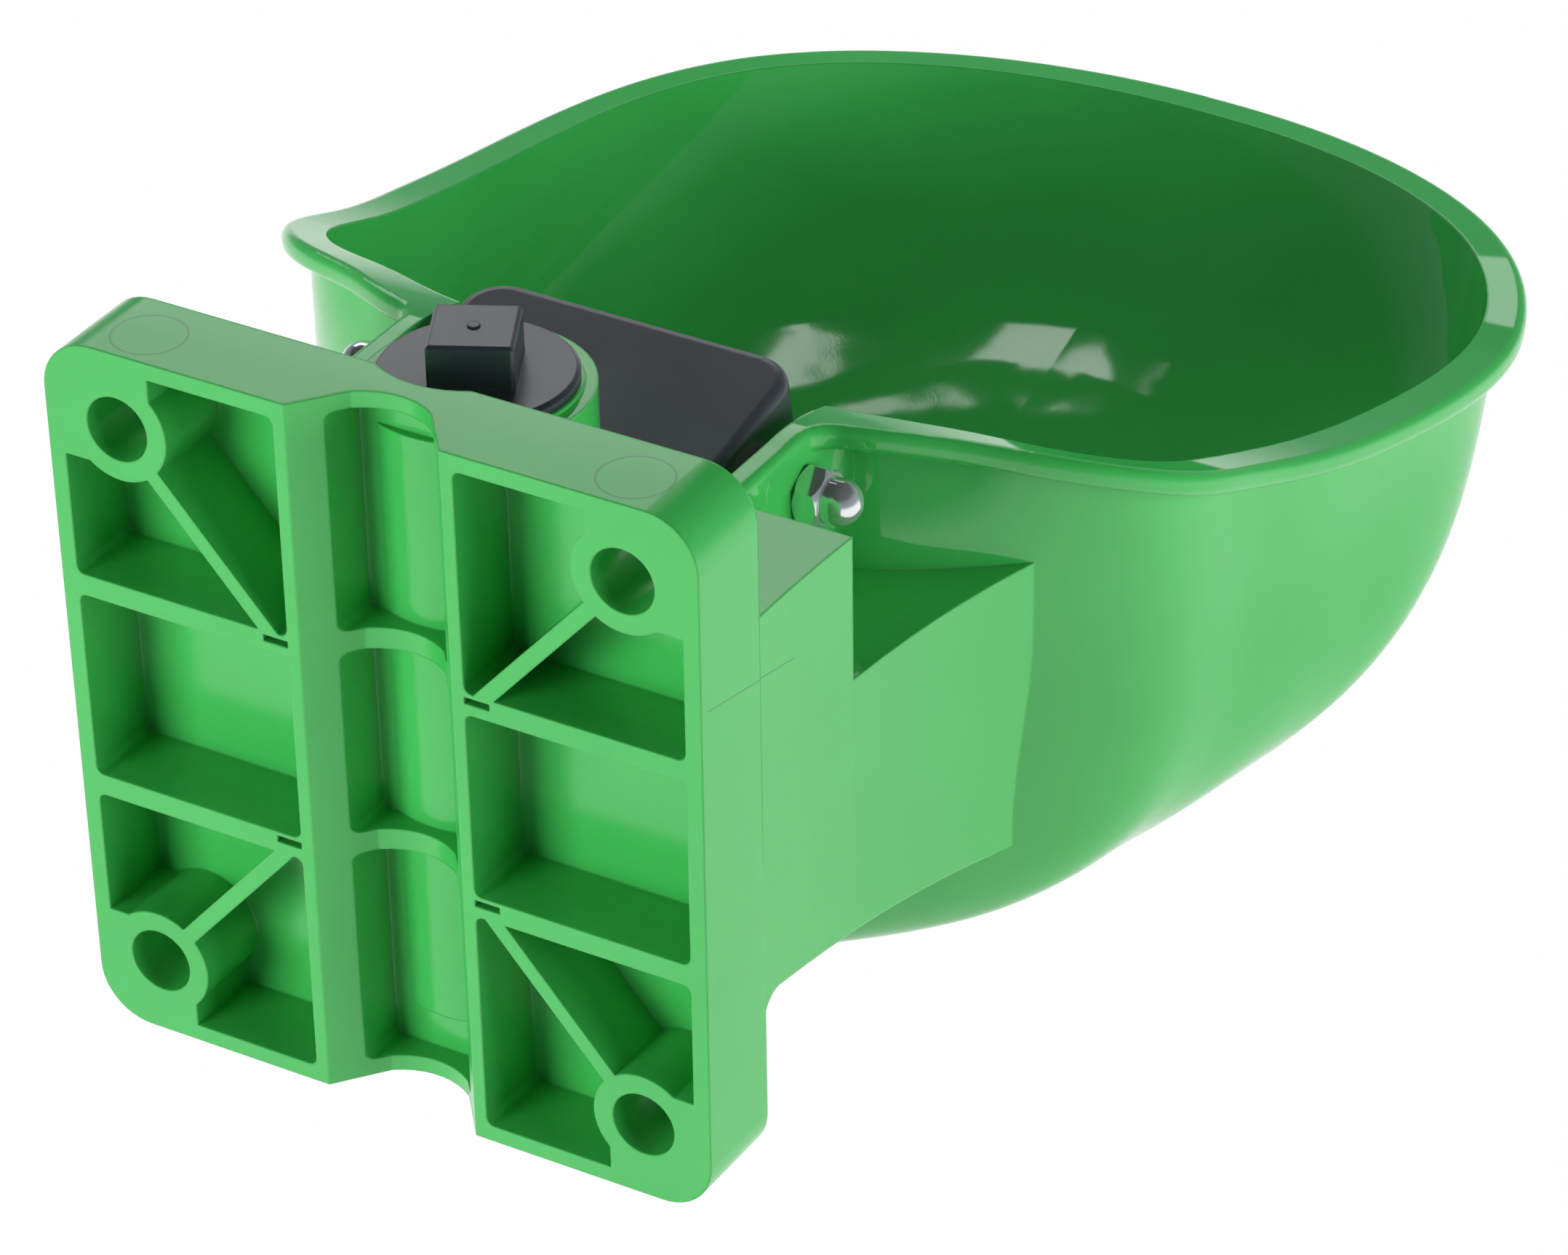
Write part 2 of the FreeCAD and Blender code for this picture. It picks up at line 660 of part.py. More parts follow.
def riser_bore():
    """The waterway through the riser with its two threaded mouths."""
    mouth = THREAD_MINOR_DIA / 2
    foot = RISER_BOTTOM
    head = PLUG_SEAT_Z
    out = head + OVERRUN
    bore = rod(RISER_BORE_R, riser_axis(foot - OVERRUN), riser_axis(out))
    bore = bore.fuse(rod(mouth, riser_axis(foot - OVERRUN), riser_axis(foot + THREAD_DEPTH)))
    bore = bore.fuse(rod(mouth, riser_axis(head - THREAD_DEPTH), riser_axis(out)))
    return bore.fuse(rod(PLUG_SEAL_DIA / 2, riser_axis(head - PLUG_SEAL_THICK), riser_axis(out)))


def valve_axis(y):
    """A point on the valve's axis."""
    return Vector(0, y, VALVE_Z)


def neck_corners(form, above):
    """Upright edges where the neck's sides meet the lip, or the hull below it."""
    found = []
    for edge in form.Edges:
        bounds = edge.BoundBox
        on_side = abs(abs(bounds.XMin) - NECK_OUTER_HALF) < CHEEK_STEP and bounds.XLength < CHEEK_STEP
        at_corner = EAR_Y < bounds.YMin < BOWL_BACK_Y + LIP_WIDTH
        under_lip = bounds.ZMin > RIM_EAR_Z and bounds.ZLength > bounds.YLength
        long_one = bounds.ZLength > 2 * LIP_HEIGHT
        if on_side and at_corner and (under_lip if above else long_one):
            found.append(edge)
    return found


def bowl_shell():
    """Bowl, neck and lip, trimmed along the rim, still filled inside."""
    half = NECK_OUTER_HALF
    front = EAR_Y - 2 * WALL
    top = RIM_BACK_Z + HULL_RISE
    neck = box(-half, half, front, -FLANGE_DEPTH + OVERRUN, NECK_FLOOR_Z - WALL, top)
    lip_face = Part.Face(closed_plan(grown(rim_half_plan(), LIP_WIDTH), NECK_FLOOR_Z - LIP_HEIGHT))
    lip = lip_face.extrude(Vector(0, 0, top - NECK_FLOOR_Z + 2 * LIP_HEIGHT))
    form = hull(WALL, BOWL_FLOOR_Z).fuse(neck).fuse(lip.common(above_rim(LIP_HEIGHT)))
    form = form.cut(above_rim(0)).Solids[0]
    form = form.makeFillet(NECK_CORNER_R, neck_corners(form, True))
    reach = BOWL_FRONT_Y - LIP_WIDTH
    long_edge = 2 * BOWL_HALF_WIDTH
    rims = [e for e in form.Edges if e.Length > long_edge and abs(e.BoundBox.YMin - reach) < WALL / 2]
    form = form.makeFillet(LIP_ROUND, rims)
    return form.makeFillet(NECK_ROOT_R, neck_corners(form, False))


def bowl_space():
    """The water space of the bowl with the throat that runs back to the riser."""
    half = NECK_OUTER_HALF - NECK_WALL
    top = RIM_BACK_Z + HULL_RISE
    throat = box(-half, half, EAR_Y, NECK_BACK_Y, NECK_FLOOR_Z, top)
    return hull(0, BOWL_FLOOR_Z + WALL).fuse(throat)


def bowl_body():
    """The green moulding: flange, riser, neck, bowl, lip and ledges."""
    shell = bowl_shell().fuse(both_sides(side_block())).cut(bowl_space())
    body = shell.fuse(wall_flange()).fuse(riser_outer())
    boss_back = RISER_Y - RISER_BORE_R / 2
    body = body.fuse(rod(VALVE_BOSS_R, valve_axis(boss_back), valve_axis(VALVE_BOSS_Y)))
    body = body.cut(riser_bore())
    shank_r = VALVE_SHANK_DIA / 2
    body = body.cut(rod(shank_r, valve_axis(RISER_Y), valve_axis(VALVE_BOSS_Y - OVERRUN)))
    end = NECK_OUTER_HALF + NECK_FLARE
    hole = AXLE_DIA / 2 + AXLE_CLEARANCE
    return body.cut(rod(hole, pivot(end), pivot(-end)))


def top_plug():
    """Screw plug closing the upper mouth: disc, square and hollow shank."""
    seat = PLUG_SEAT_Z
    disc_top = seat + PLUG_DISC_THICK
    disc = rod(PLUG_DISC_DIA / 2, riser_axis(seat), riser_axis(disc_top))
    upper = [e for e in disc.Edges if e.BoundBox.ZMin > seat + PLUG_DISC_THICK / 2]
    disc = disc.makeChamfer(PLUG_DISC_CHAMFER, upper)
    half = PLUG_SQUARE / 2
    crown = disc_top + PLUG_SQUARE_HEIGHT
    square = box(-half, half, -half, half, seat + PLUG_DISC_THICK / 2, crown)
    top_edges = [e for e in square.Edges if e.BoundBox.ZMin > disc_top]
    upright = [e for e in square.Edges if e.BoundBox.ZLength > PLUG_SQUARE_HEIGHT]
    square = square.makeChamfer(PLUG_SQUARE_ROUND, top_edges + upright)
    square.rotate(Vector(0, 0, 0), Vector(0, 0, 1), PLUG_TURN_ANGLE)
    square.translate(Vector(0, RISER_Y, 0))
    gate = rod(GATE_DIA / 2, riser_axis(crown - GATE_HEIGHT), riser_axis(crown + GATE_HEIGHT))
    shank_r = THREAD_MINOR_DIA / 2 - THREAD_CLEARANCE
    foot = seat - PLUG_SHANK_LENGTH
    inside = seat + PLUG_DISC_THICK / 4
    shank = rod(shank_r, riser_axis(foot), riser_axis(inside))
    lower = [e for e in shank.Edges if e.BoundBox.ZMax < foot + OVERRUN]
    shank = shank.makeChamfer(PLUG_DISC_CHAMFER, lower)
    core_top = riser_axis(seat - PLUG_DISC_THICK / 2)
    core = rod(shank_r - PLUG_SHANK_WALL, riser_axis(foot - OVERRUN), core_top)
    neck = rod(PLUG_SEAL_BORE / 2, riser_axis(seat - PLUG_SEAL_THICK), riser_axis(inside))
    return disc.fuse(square).fuse(gate).fuse(shank).fuse(neck).cut(core)


def plug_seal():
    """Flat rubber ring in the recess of the upper mouth."""
    low = riser_axis(PLUG_SEAT_Z - PLUG_SEAL_THICK)
    return sleeve(PLUG_SEAL_DIA / 2, PLUG_SEAL_BORE / 2, low, riser_axis(PLUG_SEAT_Z))


def pivot(x):
    """A point on the axle's axis."""
    return Vector(x, PIVOT_Y, PIVOT_Z)


def tongue_axle():
    """The stainless rod the tongue turns on."""
    end = NECK_OUTER_HALF + CAP_NUT_THREAD_DEPTH
    axle = rod(AXLE_DIA / 2, pivot(-end), pivot(end))
    tips = [e for e in axle.Edges if e.BoundBox.XLength < AXLE_CHAMFER]
    return axle.makeChamfer(AXLE_CHAMFER, tips)


def cap_nut():
    """One domed cap nut on the +X side."""
    seat = pivot(NECK_OUTER_HALF)
    out = Vector(1, 0, 0)
    hex_end = seat + out * CAP_NUT_HEX_HEIGHT
    narrow = CAP_NUT_FLATS / 2 - NUT_BEVEL_INSET
    wide = CAP_NUT_FLATS / math.cos(math.pi / 6) / 2 + CAP_NUT_FLATS / 2 * NUT_BEVEL_RATIO
    front_cone = Part.makeCone(wide, narrow, CAP_NUT_HEX_HEIGHT, seat, out)
    back_cone = Part.makeCone(narrow, wide, CAP_NUT_HEX_HEIGHT, seat, out)
    nut = hexagon(CAP_NUT_FLATS, seat, hex_end).common(front_cone).common(back_cone)
    radius = CAP_NUT_DOME_DIA / 2
    dome_centre = seat + out * (CAP_NUT_HEIGHT - radius)
    nut = nut.fuse(rod(radius, seat, dome_centre)).fuse(Part.makeSphere(radius, dome_centre))
    bore_end = seat + out * (CAP_NUT_THREAD_DEPTH + CAP_NUT_BORE_ROOM)
    return nut.cut(rod(AXLE_DIA / 2 + AXLE_CLEARANCE, seat - out, bore_end))


def cap_nuts():
    """Both cap nuts, one at each end of the axle."""
    right = cap_nut()
    return Part.makeCompound([right, mirrored(right)])


def tongue_bush(side):
    """Collared bush in one lug of the tongue."""
    inner = side * (TONGUE_HALF_WIDTH - TONGUE_LUG_THICK)
    face = side * TONGUE_HALF_WIDTH
    outer = side * (NECK_OUTER_HALF - NECK_WALL - SIDE_PLAY)
    bore = AXLE_DIA / 2 + BUSH_CLEARANCE
    tube = rod(bore + BUSH_WALL, pivot(inner), pivot(face))
    collar = rod(BUSH_COLLAR_R, pivot(face), pivot(outer))
    return tube.fuse(collar).cut(rod(bore, pivot(inner - side), pivot(outer + side)))


def side_face(points):
    """A flat face in the middle plane from y, z points joined by straight lines."""
    closed = points + points[:1]
    return Part.Face(Part.makePolygon([Vector(0, y, z) for y, z in closed]))


def stretched(face, half):
    """A face in the middle plane stretched to both sides."""
    face.translate(Vector(-half, 0, 0))
    return face.extrude(Vector(2 * half, 0, 0))


def blade_y(z):
    """The blade's front face at one height."""
    ratio = (TONGUE_FRONT_Z - z) / (TONGUE_FRONT_Z - TONGUE_TIP_Z)
    return TONGUE_FRONT_Y + (TONGUE_TIP_Y - TONGUE_FRONT_Y) * ratio


def roof_z(y):
    """The roof's height, rising towards the front."""
    slope = (TONGUE_FRONT_Z - TONGUE_REAR_Z) / (TONGUE_FRONT_Y - TONGUE_REAR_Y)
    return TONGUE_REAR_Z + slope * (y - TONGUE_REAR_Y)


def tongue_side(inset):
    """Side view of the tongue's roof and back, or of its hollow, over its width."""
    skirt = TONGUE_SKIRT + inset + (OVERRUN if inset > 0 else 0)
    rear = TONGUE_REAR_Y - inset
    front = 2 * TONGUE_TIP_Y
    level = PIVOT_Z - TONGUE_LUG_R
    outline = [
        (rear, roof_z(rear) - inset),
        (rear, TONGUE_REAR_Z - TONGUE_SKIRT),
        (blade_y(level) + skirt, level),
        (TONGUE_TIP_Y + skirt, TONGUE_TIP_Z),
        (front, TONGUE_TIP_Z),
        (front, roof_z(front) - inset),
    ]
    return stretched(side_face(outline), TONGUE_HALF_WIDTH - inset)


def tongue_lean(inset):
    """The tongue's plan, round at its front corners, swept down along the blade."""
    half = TONGUE_HALF_WIDTH - inset
    front = TONGUE_FRONT_Y + inset
    lean = Vector(0, TONGUE_TIP_Y - TONGUE_FRONT_Y, TONGUE_TIP_Z - TONGUE_FRONT_Z)
    top = -lean * (TONGUE_SKIRT / lean.Length)
    high = TONGUE_FRONT_Z
    corners = [(-half, 0), (half, 0), (half, front), (-half, front), (-half, 0)]
    plan = Part.Face(Part.makePolygon([Vector(x, y, high) for x, y in corners]))
    plan.translate(top)
    block = plan.extrude(lean - top * 2)
    sides = [e for e in block.Edges if e.BoundBox.ZLength > -lean.z and e.BoundBox.YMin < front]
    return block.makeFillet(TONGUE_CORNER_R - inset, sides)


def tongue_front(inset):
    """Front view of the tongue: wide at the roof, narrower and round at the tip."""
    half = TONGUE_HALF_WIDTH - inset
    tip = TONGUE_TIP_HALF - inset
    top = TONGUE_FRONT_Z + TONGUE_SKIRT
    low = TONGUE_TIP_Z + inset
    corners = [(-half, top), (half, top), (half, TONGUE_WAIST_Z), (tip, low), (-tip, low)]
    plan = wall_plane_face(corners + [(-half, TONGUE_WAIST_Z)])
    reach = 2 * TONGUE_TIP_Y
    block = plan.extrude(Vector(0, reach, 0))
    lower = [e for e in block.Edges if e.BoundBox.ZMax < low + OVERRUN and e.BoundBox.YLength > -reach / 2]
    return block.makeFillet(TONGUE_TIP_ROUND - inset, lower)


def tongue_form(inset):
    """The tongue's outer form, or its hollow when inset."""
    return tongue_side(inset).common(tongue_lean(inset)).common(tongue_front(inset))


def on_roof(edge):
    """Whether an edge lies in the roof's plane, its rear edge left out."""
    bounds = edge.BoundBox
    level = abs(bounds.ZMax - roof_z(bounds.YMin)) < CHEEK_STEP
    return level and abs(bounds.ZMin - roof_z(bounds.YMax)) < CHEEK_STEP and bounds.YMin < TONGUE_REAR_Y


def tongue():
    """The lever the animal presses: roof, blade, lugs and presser."""
    outer = tongue_form(0)
    outer = outer.makeFillet(TONGUE_EDGE_R, [e for e in outer.Edges if on_roof(e)])
    shell = outer.cut(tongue_form(TONGUE_WALL))
    for side in (-1, 1):
        inner = side * (TONGUE_HALF_WIDTH - TONGUE_LUG_THICK)
        shell = shell.fuse(rod(TONGUE_LUG_R, pivot(inner), pivot(side * TONGUE_HALF_WIDTH)))
    pad_y = STEM_TIP_Y - PRESS_GAP - PAD_ROUND
    rib_top = VALVE_Z + PAD_RIB_UP
    rib_low = VALVE_Z - PAD_RIB_DOWN
    rib = stretched(side_face([
        (blade_y(rib_top) + TONGUE_WALL / 2, rib_top),
        (pad_y, VALVE_Z + PAD_ROUND),
        (pad_y, VALVE_Z - PAD_ROUND),
        (blade_y(rib_low) + TONGUE_WALL / 2, rib_low),
    ]), PAD_HALF / 2)
    pad = rod(PAD_ROUND, Vector(-PAD_HALF, pad_y, VALVE_Z), Vector(PAD_HALF, pad_y, VALVE_Z))
    hole_r = AXLE_DIA / 2 + BUSH_CLEARANCE + BUSH_WALL
    end = TONGUE_HALF_WIDTH + OVERRUN
    return shell.fuse(rib).fuse(pad).cut(rod(hole_r, pivot(-end), pivot(end)))


def ring_of_holes(count, dia, circle_r, start, end, turn):
    """Round holes evenly spaced about the valve's axis."""
    holes = []
    for step in range(count):
        angle = 2 * math.pi * (step + turn) / count
        away = Vector(math.cos(angle), 0, math.sin(angle)) * circle_r
        holes.append(rod(dia / 2, valve_axis(start) + away, valve_axis(end) + away))
    return holes


def valve_body():
    """Brass valve body: hexagon head, shank, guide, chambers and outlets."""
    head = hexagon(VALVE_HEAD_FLATS, valve_axis(VALVE_FRONT_Y), valve_axis(VALVE_HEAD_Y))
    shank_r = VALVE_SHANK_DIA / 2 - AXLE_CLEARANCE
    body = head.fuse(rod(shank_r, valve_axis(VALVE_HEAD_Y), valve_axis(SHANK_END_Y)))
    chamber_r = VALVE_CHAMBER_DIA / 2
    end = SHANK_END_Y + OVERRUN
    body = body.cut(rod(chamber_r, valve_axis(SEAT_FRONT_Y), valve_axis(end)))
    front_r = OUTLET_CIRCLE_R + OUTLET_HOLE_DIA / 2 + OUTLET_ROOM
    web_y = VALVE_HEAD_Y + VALVE_WEB
    body = body.cut(rod(front_r, valve_axis(web_y), valve_axis(SEAT_FRONT_Y + OVERRUN)))
    before = VALVE_FRONT_Y - OVERRUN
    beyond = web_y + OVERRUN
    body = body.cut(rod(STEM_DIA / 2 + STEM_CLEARANCE, valve_axis(before), valve_axis(beyond)))
    groove = VALVE_FRONT_Y + STEM_RING_INSET
    body = body.cut(rod(STEM_RING_R, valve_axis(groove), valve_axis(groove + STEM_RING_THICK)))
    holes = ring_of_holes(OUTLET_HOLE_COUNT, OUTLET_HOLE_DIA, OUTLET_CIRCLE_R, before, beyond, 0.5)
    groove_r = chamber_r + RING_GRIP
    body = body.cut(holes)
    return body.cut(rod(groove_r, valve_axis(RING_Y), valve_axis(RING_Y + RING_THICK)))


def body_seal():
    """Flat fibre seal between the hexagon head and the boss."""
    start = valve_axis(VALVE_HEAD_Y)
    return sleeve(VALVE_HEAD_FLATS / 2, VALVE_SHANK_DIA / 2, start, valve_axis(VALVE_BOSS_Y))


def valve_seat():
    """Seat ring with a raised sealing lip."""
    ring_end = SEAT_FRONT_Y + SEAT_THICK
    ring = rod(VALVE_CHAMBER_DIA / 2, valve_axis(SEAT_FRONT_Y), valve_axis(ring_end))
    lip_r = VALVE_SEAT_DIA / 2 + VALVE_SEAT_WIDTH
    lip = rod(lip_r, valve_axis(ring_end - SEAT_LIP), valve_axis(SEAL_FRONT_Y))
    before = valve_axis(SEAT_FRONT_Y - OVERRUN)
    bore = rod(VALVE_SEAT_DIA / 2, before, valve_axis(SEAL_FRONT_Y + OVERRUN))
    return ring.fuse(lip).cut(bore)


def valve_stem():
    """Stem with a backing disc behind the rubber seal."""
    tail = valve_axis(SPRING_CAP_Y + STEM_TAIL_GUIDE)
    stem = rod(STEM_DIA / 2, valve_axis(STEM_TIP_Y), tail)
    stem = stem.makeChamfer(STEM_TIP_ROUND, [e for e in stem.Edges if e.BoundBox.YLength < STEM_DIA / 2])
    disc_end = valve_axis(BACKING_Y + BACKING_THICK)
    return stem.fuse(rod(STEM_HEAD_DIA / 2, valve_axis(BACKING_Y), disc_end))


def stem_ring():
    """Rubber ring sealing the stem in its guide."""
    groove = VALVE_FRONT_Y + STEM_RING_INSET
    inner_r = STEM_DIA / 2 + STEM_CLEARANCE / 2
    ring = sleeve(STEM_RING_R, inner_r, valve_axis(groove), valve_axis(groove + STEM_RING_THICK))
    rims = [e for e in ring.Edges if e.BoundBox.XLength > STEM_RING_R + inner_r]
    return ring.makeChamfer(STEM_RING_THICK / 4, [e for e in rims if e.BoundBox.YLength < STEM_CLEARANCE])


def valve_seal():
    """Rubber disc that closes the seat."""
    end = valve_axis(BACKING_Y)
    return sleeve(VALVE_SEAL_DIA / 2, STEM_DIA / 2, valve_axis(SEAL_FRONT_Y), end)


def seal_clip():
    """Clip that holds the rubber disc on the stem."""
    start = valve_axis(SEAL_FRONT_Y - CLIP_THICK)
    return sleeve(CLIP_DIA / 2, STEM_DIA / 2, start, valve_axis(SEAL_FRONT_Y))


def valve_spring():
    """Coil spring that closes the valve."""
    wire_r = SPRING_WIRE / 2
    mean_r = SPRING_DIA / 2
    run = SPRING_LENGTH - SPRING_WIRE - 2 * SPRING_END_GAP
    helix = Part.makeHelix(run / SPRING_TURN_COUNT, run, mean_r)
    section = regular_polygon(6, wire_r, math.pi / 6)
    section.rotate(Vector(0, 0, 0), Vector(1, 0, 0), 90)
    section.translate(Vector(mean_r, 0, 0))
    coil = Part.Wire(helix.Edges).makePipeShell([section], True, True)
    coil.rotate(Vector(0, 0, 0), Vector(1, 0, 0), -90)
    coil.translate(valve_axis(BACKING_Y + BACKING_THICK + wire_r + SPRING_END_GAP))
    return coil


def spring_cap():
    """Perforated disc the spring rests on."""
    cap_r = VALVE_CHAMBER_DIA / 2 - STEM_CLEARANCE
    cap = sleeve(cap_r, CAP_BORE / 2, valve_axis(SPRING_CAP_Y), valve_axis(RING_Y))
    return cap.cut(ring_of_holes(CAP_HOLE_COUNT, CAP_HOLE_DIA, CAP_CIRCLE_R, SPRING_CAP_Y, RING_Y, 0))


def retaining_ring():
    """Spring ring in its groove behind the cap."""
    outer = VALVE_CHAMBER_DIA / 2 + RING_GRIP
    end = RING_Y + RING_THICK
    ring = sleeve(outer, outer - RING_WIDTH, valve_axis(RING_Y), valve_axis(end))
    half = RING_GAP / 2
    return ring.cut(box(-half, half, RING_Y - OVERRUN, end + OVERRUN, VALVE_Z - 2 * outer, VALVE_Z))


def export(name, shape):
    """Write one named piece."""
    shape.exportStep(os.path.join("parts", name + ".step"))


os.makedirs("parts", exist_ok=True)
export("bowl_body", bowl_body())
export("top_plug", top_plug())
export("plug_seal", plug_seal())
export("tongue", tongue())
export("tongue_axle", tongue_axle())
export("cap_nuts", cap_nuts())
export("bush_right", tongue_bush(1))
export("bush_left", tongue_bush(-1))
export("valve_body", valve_body())
export("body_seal", body_seal())
export("valve_seat", valve_seat())
export("valve_stem", valve_stem())
export("stem_ring", stem_ring())
export("valve_seal", valve_seal())
export("seal_clip", seal_clip())
export("valve_spring", valve_spring())
export("spring_cap", spring_cap())
export("retaining_ring", retaining_ring())
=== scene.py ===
import json
import math

import bpy
from bpy.props import FloatProperty, FloatVectorProperty, PointerProperty
from mathutils import Matrix, Vector

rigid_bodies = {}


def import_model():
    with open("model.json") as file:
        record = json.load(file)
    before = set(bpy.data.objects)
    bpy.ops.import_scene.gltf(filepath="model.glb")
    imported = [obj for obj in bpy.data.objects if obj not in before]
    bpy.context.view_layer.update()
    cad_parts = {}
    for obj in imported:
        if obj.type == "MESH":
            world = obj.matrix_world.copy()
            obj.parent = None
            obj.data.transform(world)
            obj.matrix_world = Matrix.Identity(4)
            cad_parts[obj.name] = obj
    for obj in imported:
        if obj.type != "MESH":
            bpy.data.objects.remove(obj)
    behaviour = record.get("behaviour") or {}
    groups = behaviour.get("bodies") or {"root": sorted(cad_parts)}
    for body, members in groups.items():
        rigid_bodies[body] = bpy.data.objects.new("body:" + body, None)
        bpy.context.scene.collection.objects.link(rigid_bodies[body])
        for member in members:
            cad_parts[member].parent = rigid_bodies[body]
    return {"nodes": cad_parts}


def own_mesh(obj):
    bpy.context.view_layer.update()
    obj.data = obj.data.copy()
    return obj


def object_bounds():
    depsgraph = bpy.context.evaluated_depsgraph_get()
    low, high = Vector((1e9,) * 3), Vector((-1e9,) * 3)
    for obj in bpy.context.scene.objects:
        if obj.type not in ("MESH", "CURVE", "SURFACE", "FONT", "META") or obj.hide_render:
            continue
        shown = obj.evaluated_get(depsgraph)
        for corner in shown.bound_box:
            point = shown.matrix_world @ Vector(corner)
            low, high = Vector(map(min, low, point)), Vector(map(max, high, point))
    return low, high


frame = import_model()
CAD_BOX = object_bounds()
NODES = frame["nodes"]

bl_info = {
    "name": "Livestock drinking bowl",
    "version": (1, 0, 0),
    "blender": (4, 5, 0),
    "location": "View3D > Sidebar > Drinking bowl",
    "description": "Finishes, soft light and camera for a wall-mounted livestock drinking bowl",
    "category": "Object",
}

MM = 0.001

# the camera, fitted to the flange's corners and holes; angles in degrees
PHOTO_WIDTH = 2156
PHOTO_FOCAL_PX = 9741.9
SENSOR_MM = 36.0
CAMERA_AT = (-0.580099, 0.816471, 0.662344)
CAMERA_AZIMUTH = 211.464
CAMERA_ELEVATION = 32.395
CAMERA_ROLL = -1.430
CAMERA_NEAR = 0.05
CAMERA_FAR = 20

# patterns in the green plastic, by their real size
FLOW_WAVE = 25 * MM
TOOL_POLISH = 0.6 * MM
PIGMENT_CLOUD = 40 * MM
# the mould's finish along Y: polished where it forms the bowl, plainer at the flange
POLISHED_Y = -30 * MM
POLISHED_ROUGHNESS = 0.02
PLAIN_Y = -8 * MM
PLAIN_ROUGHNESS = 0.24
# a round ejector mark at each end of the flange's top, drawn as a thin ring
EJECTOR_AT = (48 * MM, -8.3 * MM, 0)
EJECTOR_RADIUS = 6.6 * MM
EJECTOR_HALF_LINE = 0.2 * MM
FLANGE_TOP_Z = 68.9 * MM
# the mould's parting line on each cheek: its height at the wall, its rise along Y, half its
# width, and the stretch of the cheek's outside that shows it
PARTING_Z = 33 * MM
PARTING_RISE = 0.19
PARTING_HALF_LINE = 0.14 * MM
CHEEK_OUTSIDE_X = 63.2 * MM
PARTING_MIDDLE_Y = -16 * MM
PARTING_REACH_Y = 14 * MM

# patterns in the other plastics and in rubber
SPARK_GRAIN = 0.5 * MM
SATIN_CLOUD = 18 * MM
# patterns in metal: a turning tool's feed is finer than this, and is drawn coarser so that it
# shows; the ripple is that of the zinc on a pressed nut
TURNING_FEED = 0.3 * MM
PLATE_RIPPLE = 0.5 * MM
METAL_CLOUD = 6 * MM
# where a cloud's first colour ends and its second begins
CLOUD_START = 0.3
CLOUD_END = 0.7
SATIN_CLOUD_END = 0.75
# how far the roughness strays with the cloud: added for plastic, times for metal
SATIN_STRAY = (-0.05, 0.07)
METAL_STRAY = (0.7, 1.4)

# colours that the panel leaves alone, each a pair that the surface drifts between
WHITE_ACETAL = ("#e6e4dc", "#eeece6")
BLACK_RUBBER = ("#161616", "#1e1e1e")
ZINC_PLATE = ("#e6e9ec", "#f4f6f8")
STAINLESS_STEEL = ("#b8b6b2", "#c9c7c3")
BRASS = ("#b58d4a", "#c49a55")

FLOOR_SIZE = 2.4
# the room round the object, by the height of the direction: floor, wall and ceiling
ROOM = ((-0.2, "#ffffff"), (0.02, "#858b93"), (0.5, "#585f68"), (0.62, "#1b1d1f"))
# soft boxes: name, place, width and height, share of the light's power, mirrored in gloss
SOFT_BOXES = (
    ("flange_box", (0.6, 1.4, 0.2), (0.8, 0.8), 1.2, False),
    ("side_box", (-1.5, -0.3, 0.24), (1.4, 0.9), 1.05, False),
    ("back_box", (0.75, -1.05, 0.75), (1.1, 0.5), 0.15, True),
    ("rim_box", (0.8, -1.3, 0.6), (1.1, 0.5), 0.8, False),
)
# the soft box straight above the object
TOP_BOX_Z = 1.6
TOP_BOX_SIZE = (1.0, 1.0)
TOP_BOX_SHARE = 0.18
# small ceiling boxes, placed by the way that the bowl's floor mirrors the camera's view: how far
# each lies across and up from that way, as shares of its reach, how wide and long it is in
# metres, its turn in degrees, and its power for each square metre
BOWL_FLOOR_AT = (0.01, -0.225, -0.041)
CEILING_WAY = (0.405, -0.315, 0.857)
CEILING_REACH = 1.2
CEILING_BOXES = (
    (0.0045, 0.003, 0.073, 0.015, 47, 11.0),
    (-0.021, 0.041, 0.010, 0.10, -8, 11.0),
    (-0.0305, -0.033, 0.015, 0.004, 80, 10.0),
    (0.008, -0.017, 0.06, 0.003, 36, 3.0),
)


def linear(hex_colour):
    """A hex sRGB colour as linear red, green, blue and alpha, by the curve of the standard."""
    parts = [int(hex_colour[i:i + 2], 16) / 255 for i in (1, 3, 5)]
    lit = [c / 12.92 if c <= 0.04045 else ((c + 0.055) / 1.055) ** 2.4 for c in parts]
    return (*lit, 1.0)


def add(tree, kind, links=None, **settings):
    """Adds one node with its settings, then its links from other nodes' outputs.

    A setting whose name starts with in_ goes to the socket of that name or number."""
    node = tree.nodes.new(kind)
    for key, value in settings.items():
        if key.startswith("in_"):
            name = key[3:].replace("_", " ")
            node.inputs[int(name) if name.isdigit() else name].default_value = value
        else:
            setattr(node, key, value)
    for socket, source in (links or {}).items():
        tree.links.new(source, node.inputs[socket])
    return node


def set_stops(ramp, stops):
    """Gives a colour ramp its stops, each a position and a linear colour."""
    elements = ramp.color_ramp.elements
    while len(elements) < len(stops):
        elements.new(1.0)
    for element, (position, colour) in zip(elements, stops):
        element.position = position
        element.color = colour


def new_material(name):
    """An empty node material and its tree."""
    material = bpy.data.materials.new(name)
    material.use_nodes = True
    material.node_tree.nodes.clear()
    return material, material.node_tree


def dress(names, material):
    """Gives CAD nodes a material."""
    for name in names:
        slots = NODES[name].data.materials
        slots.clear()
        slots.append(material)


def deselect():
    """Leaves nothing selected."""
    for obj in bpy.context.view_layer.objects:
        obj.select_set(False)


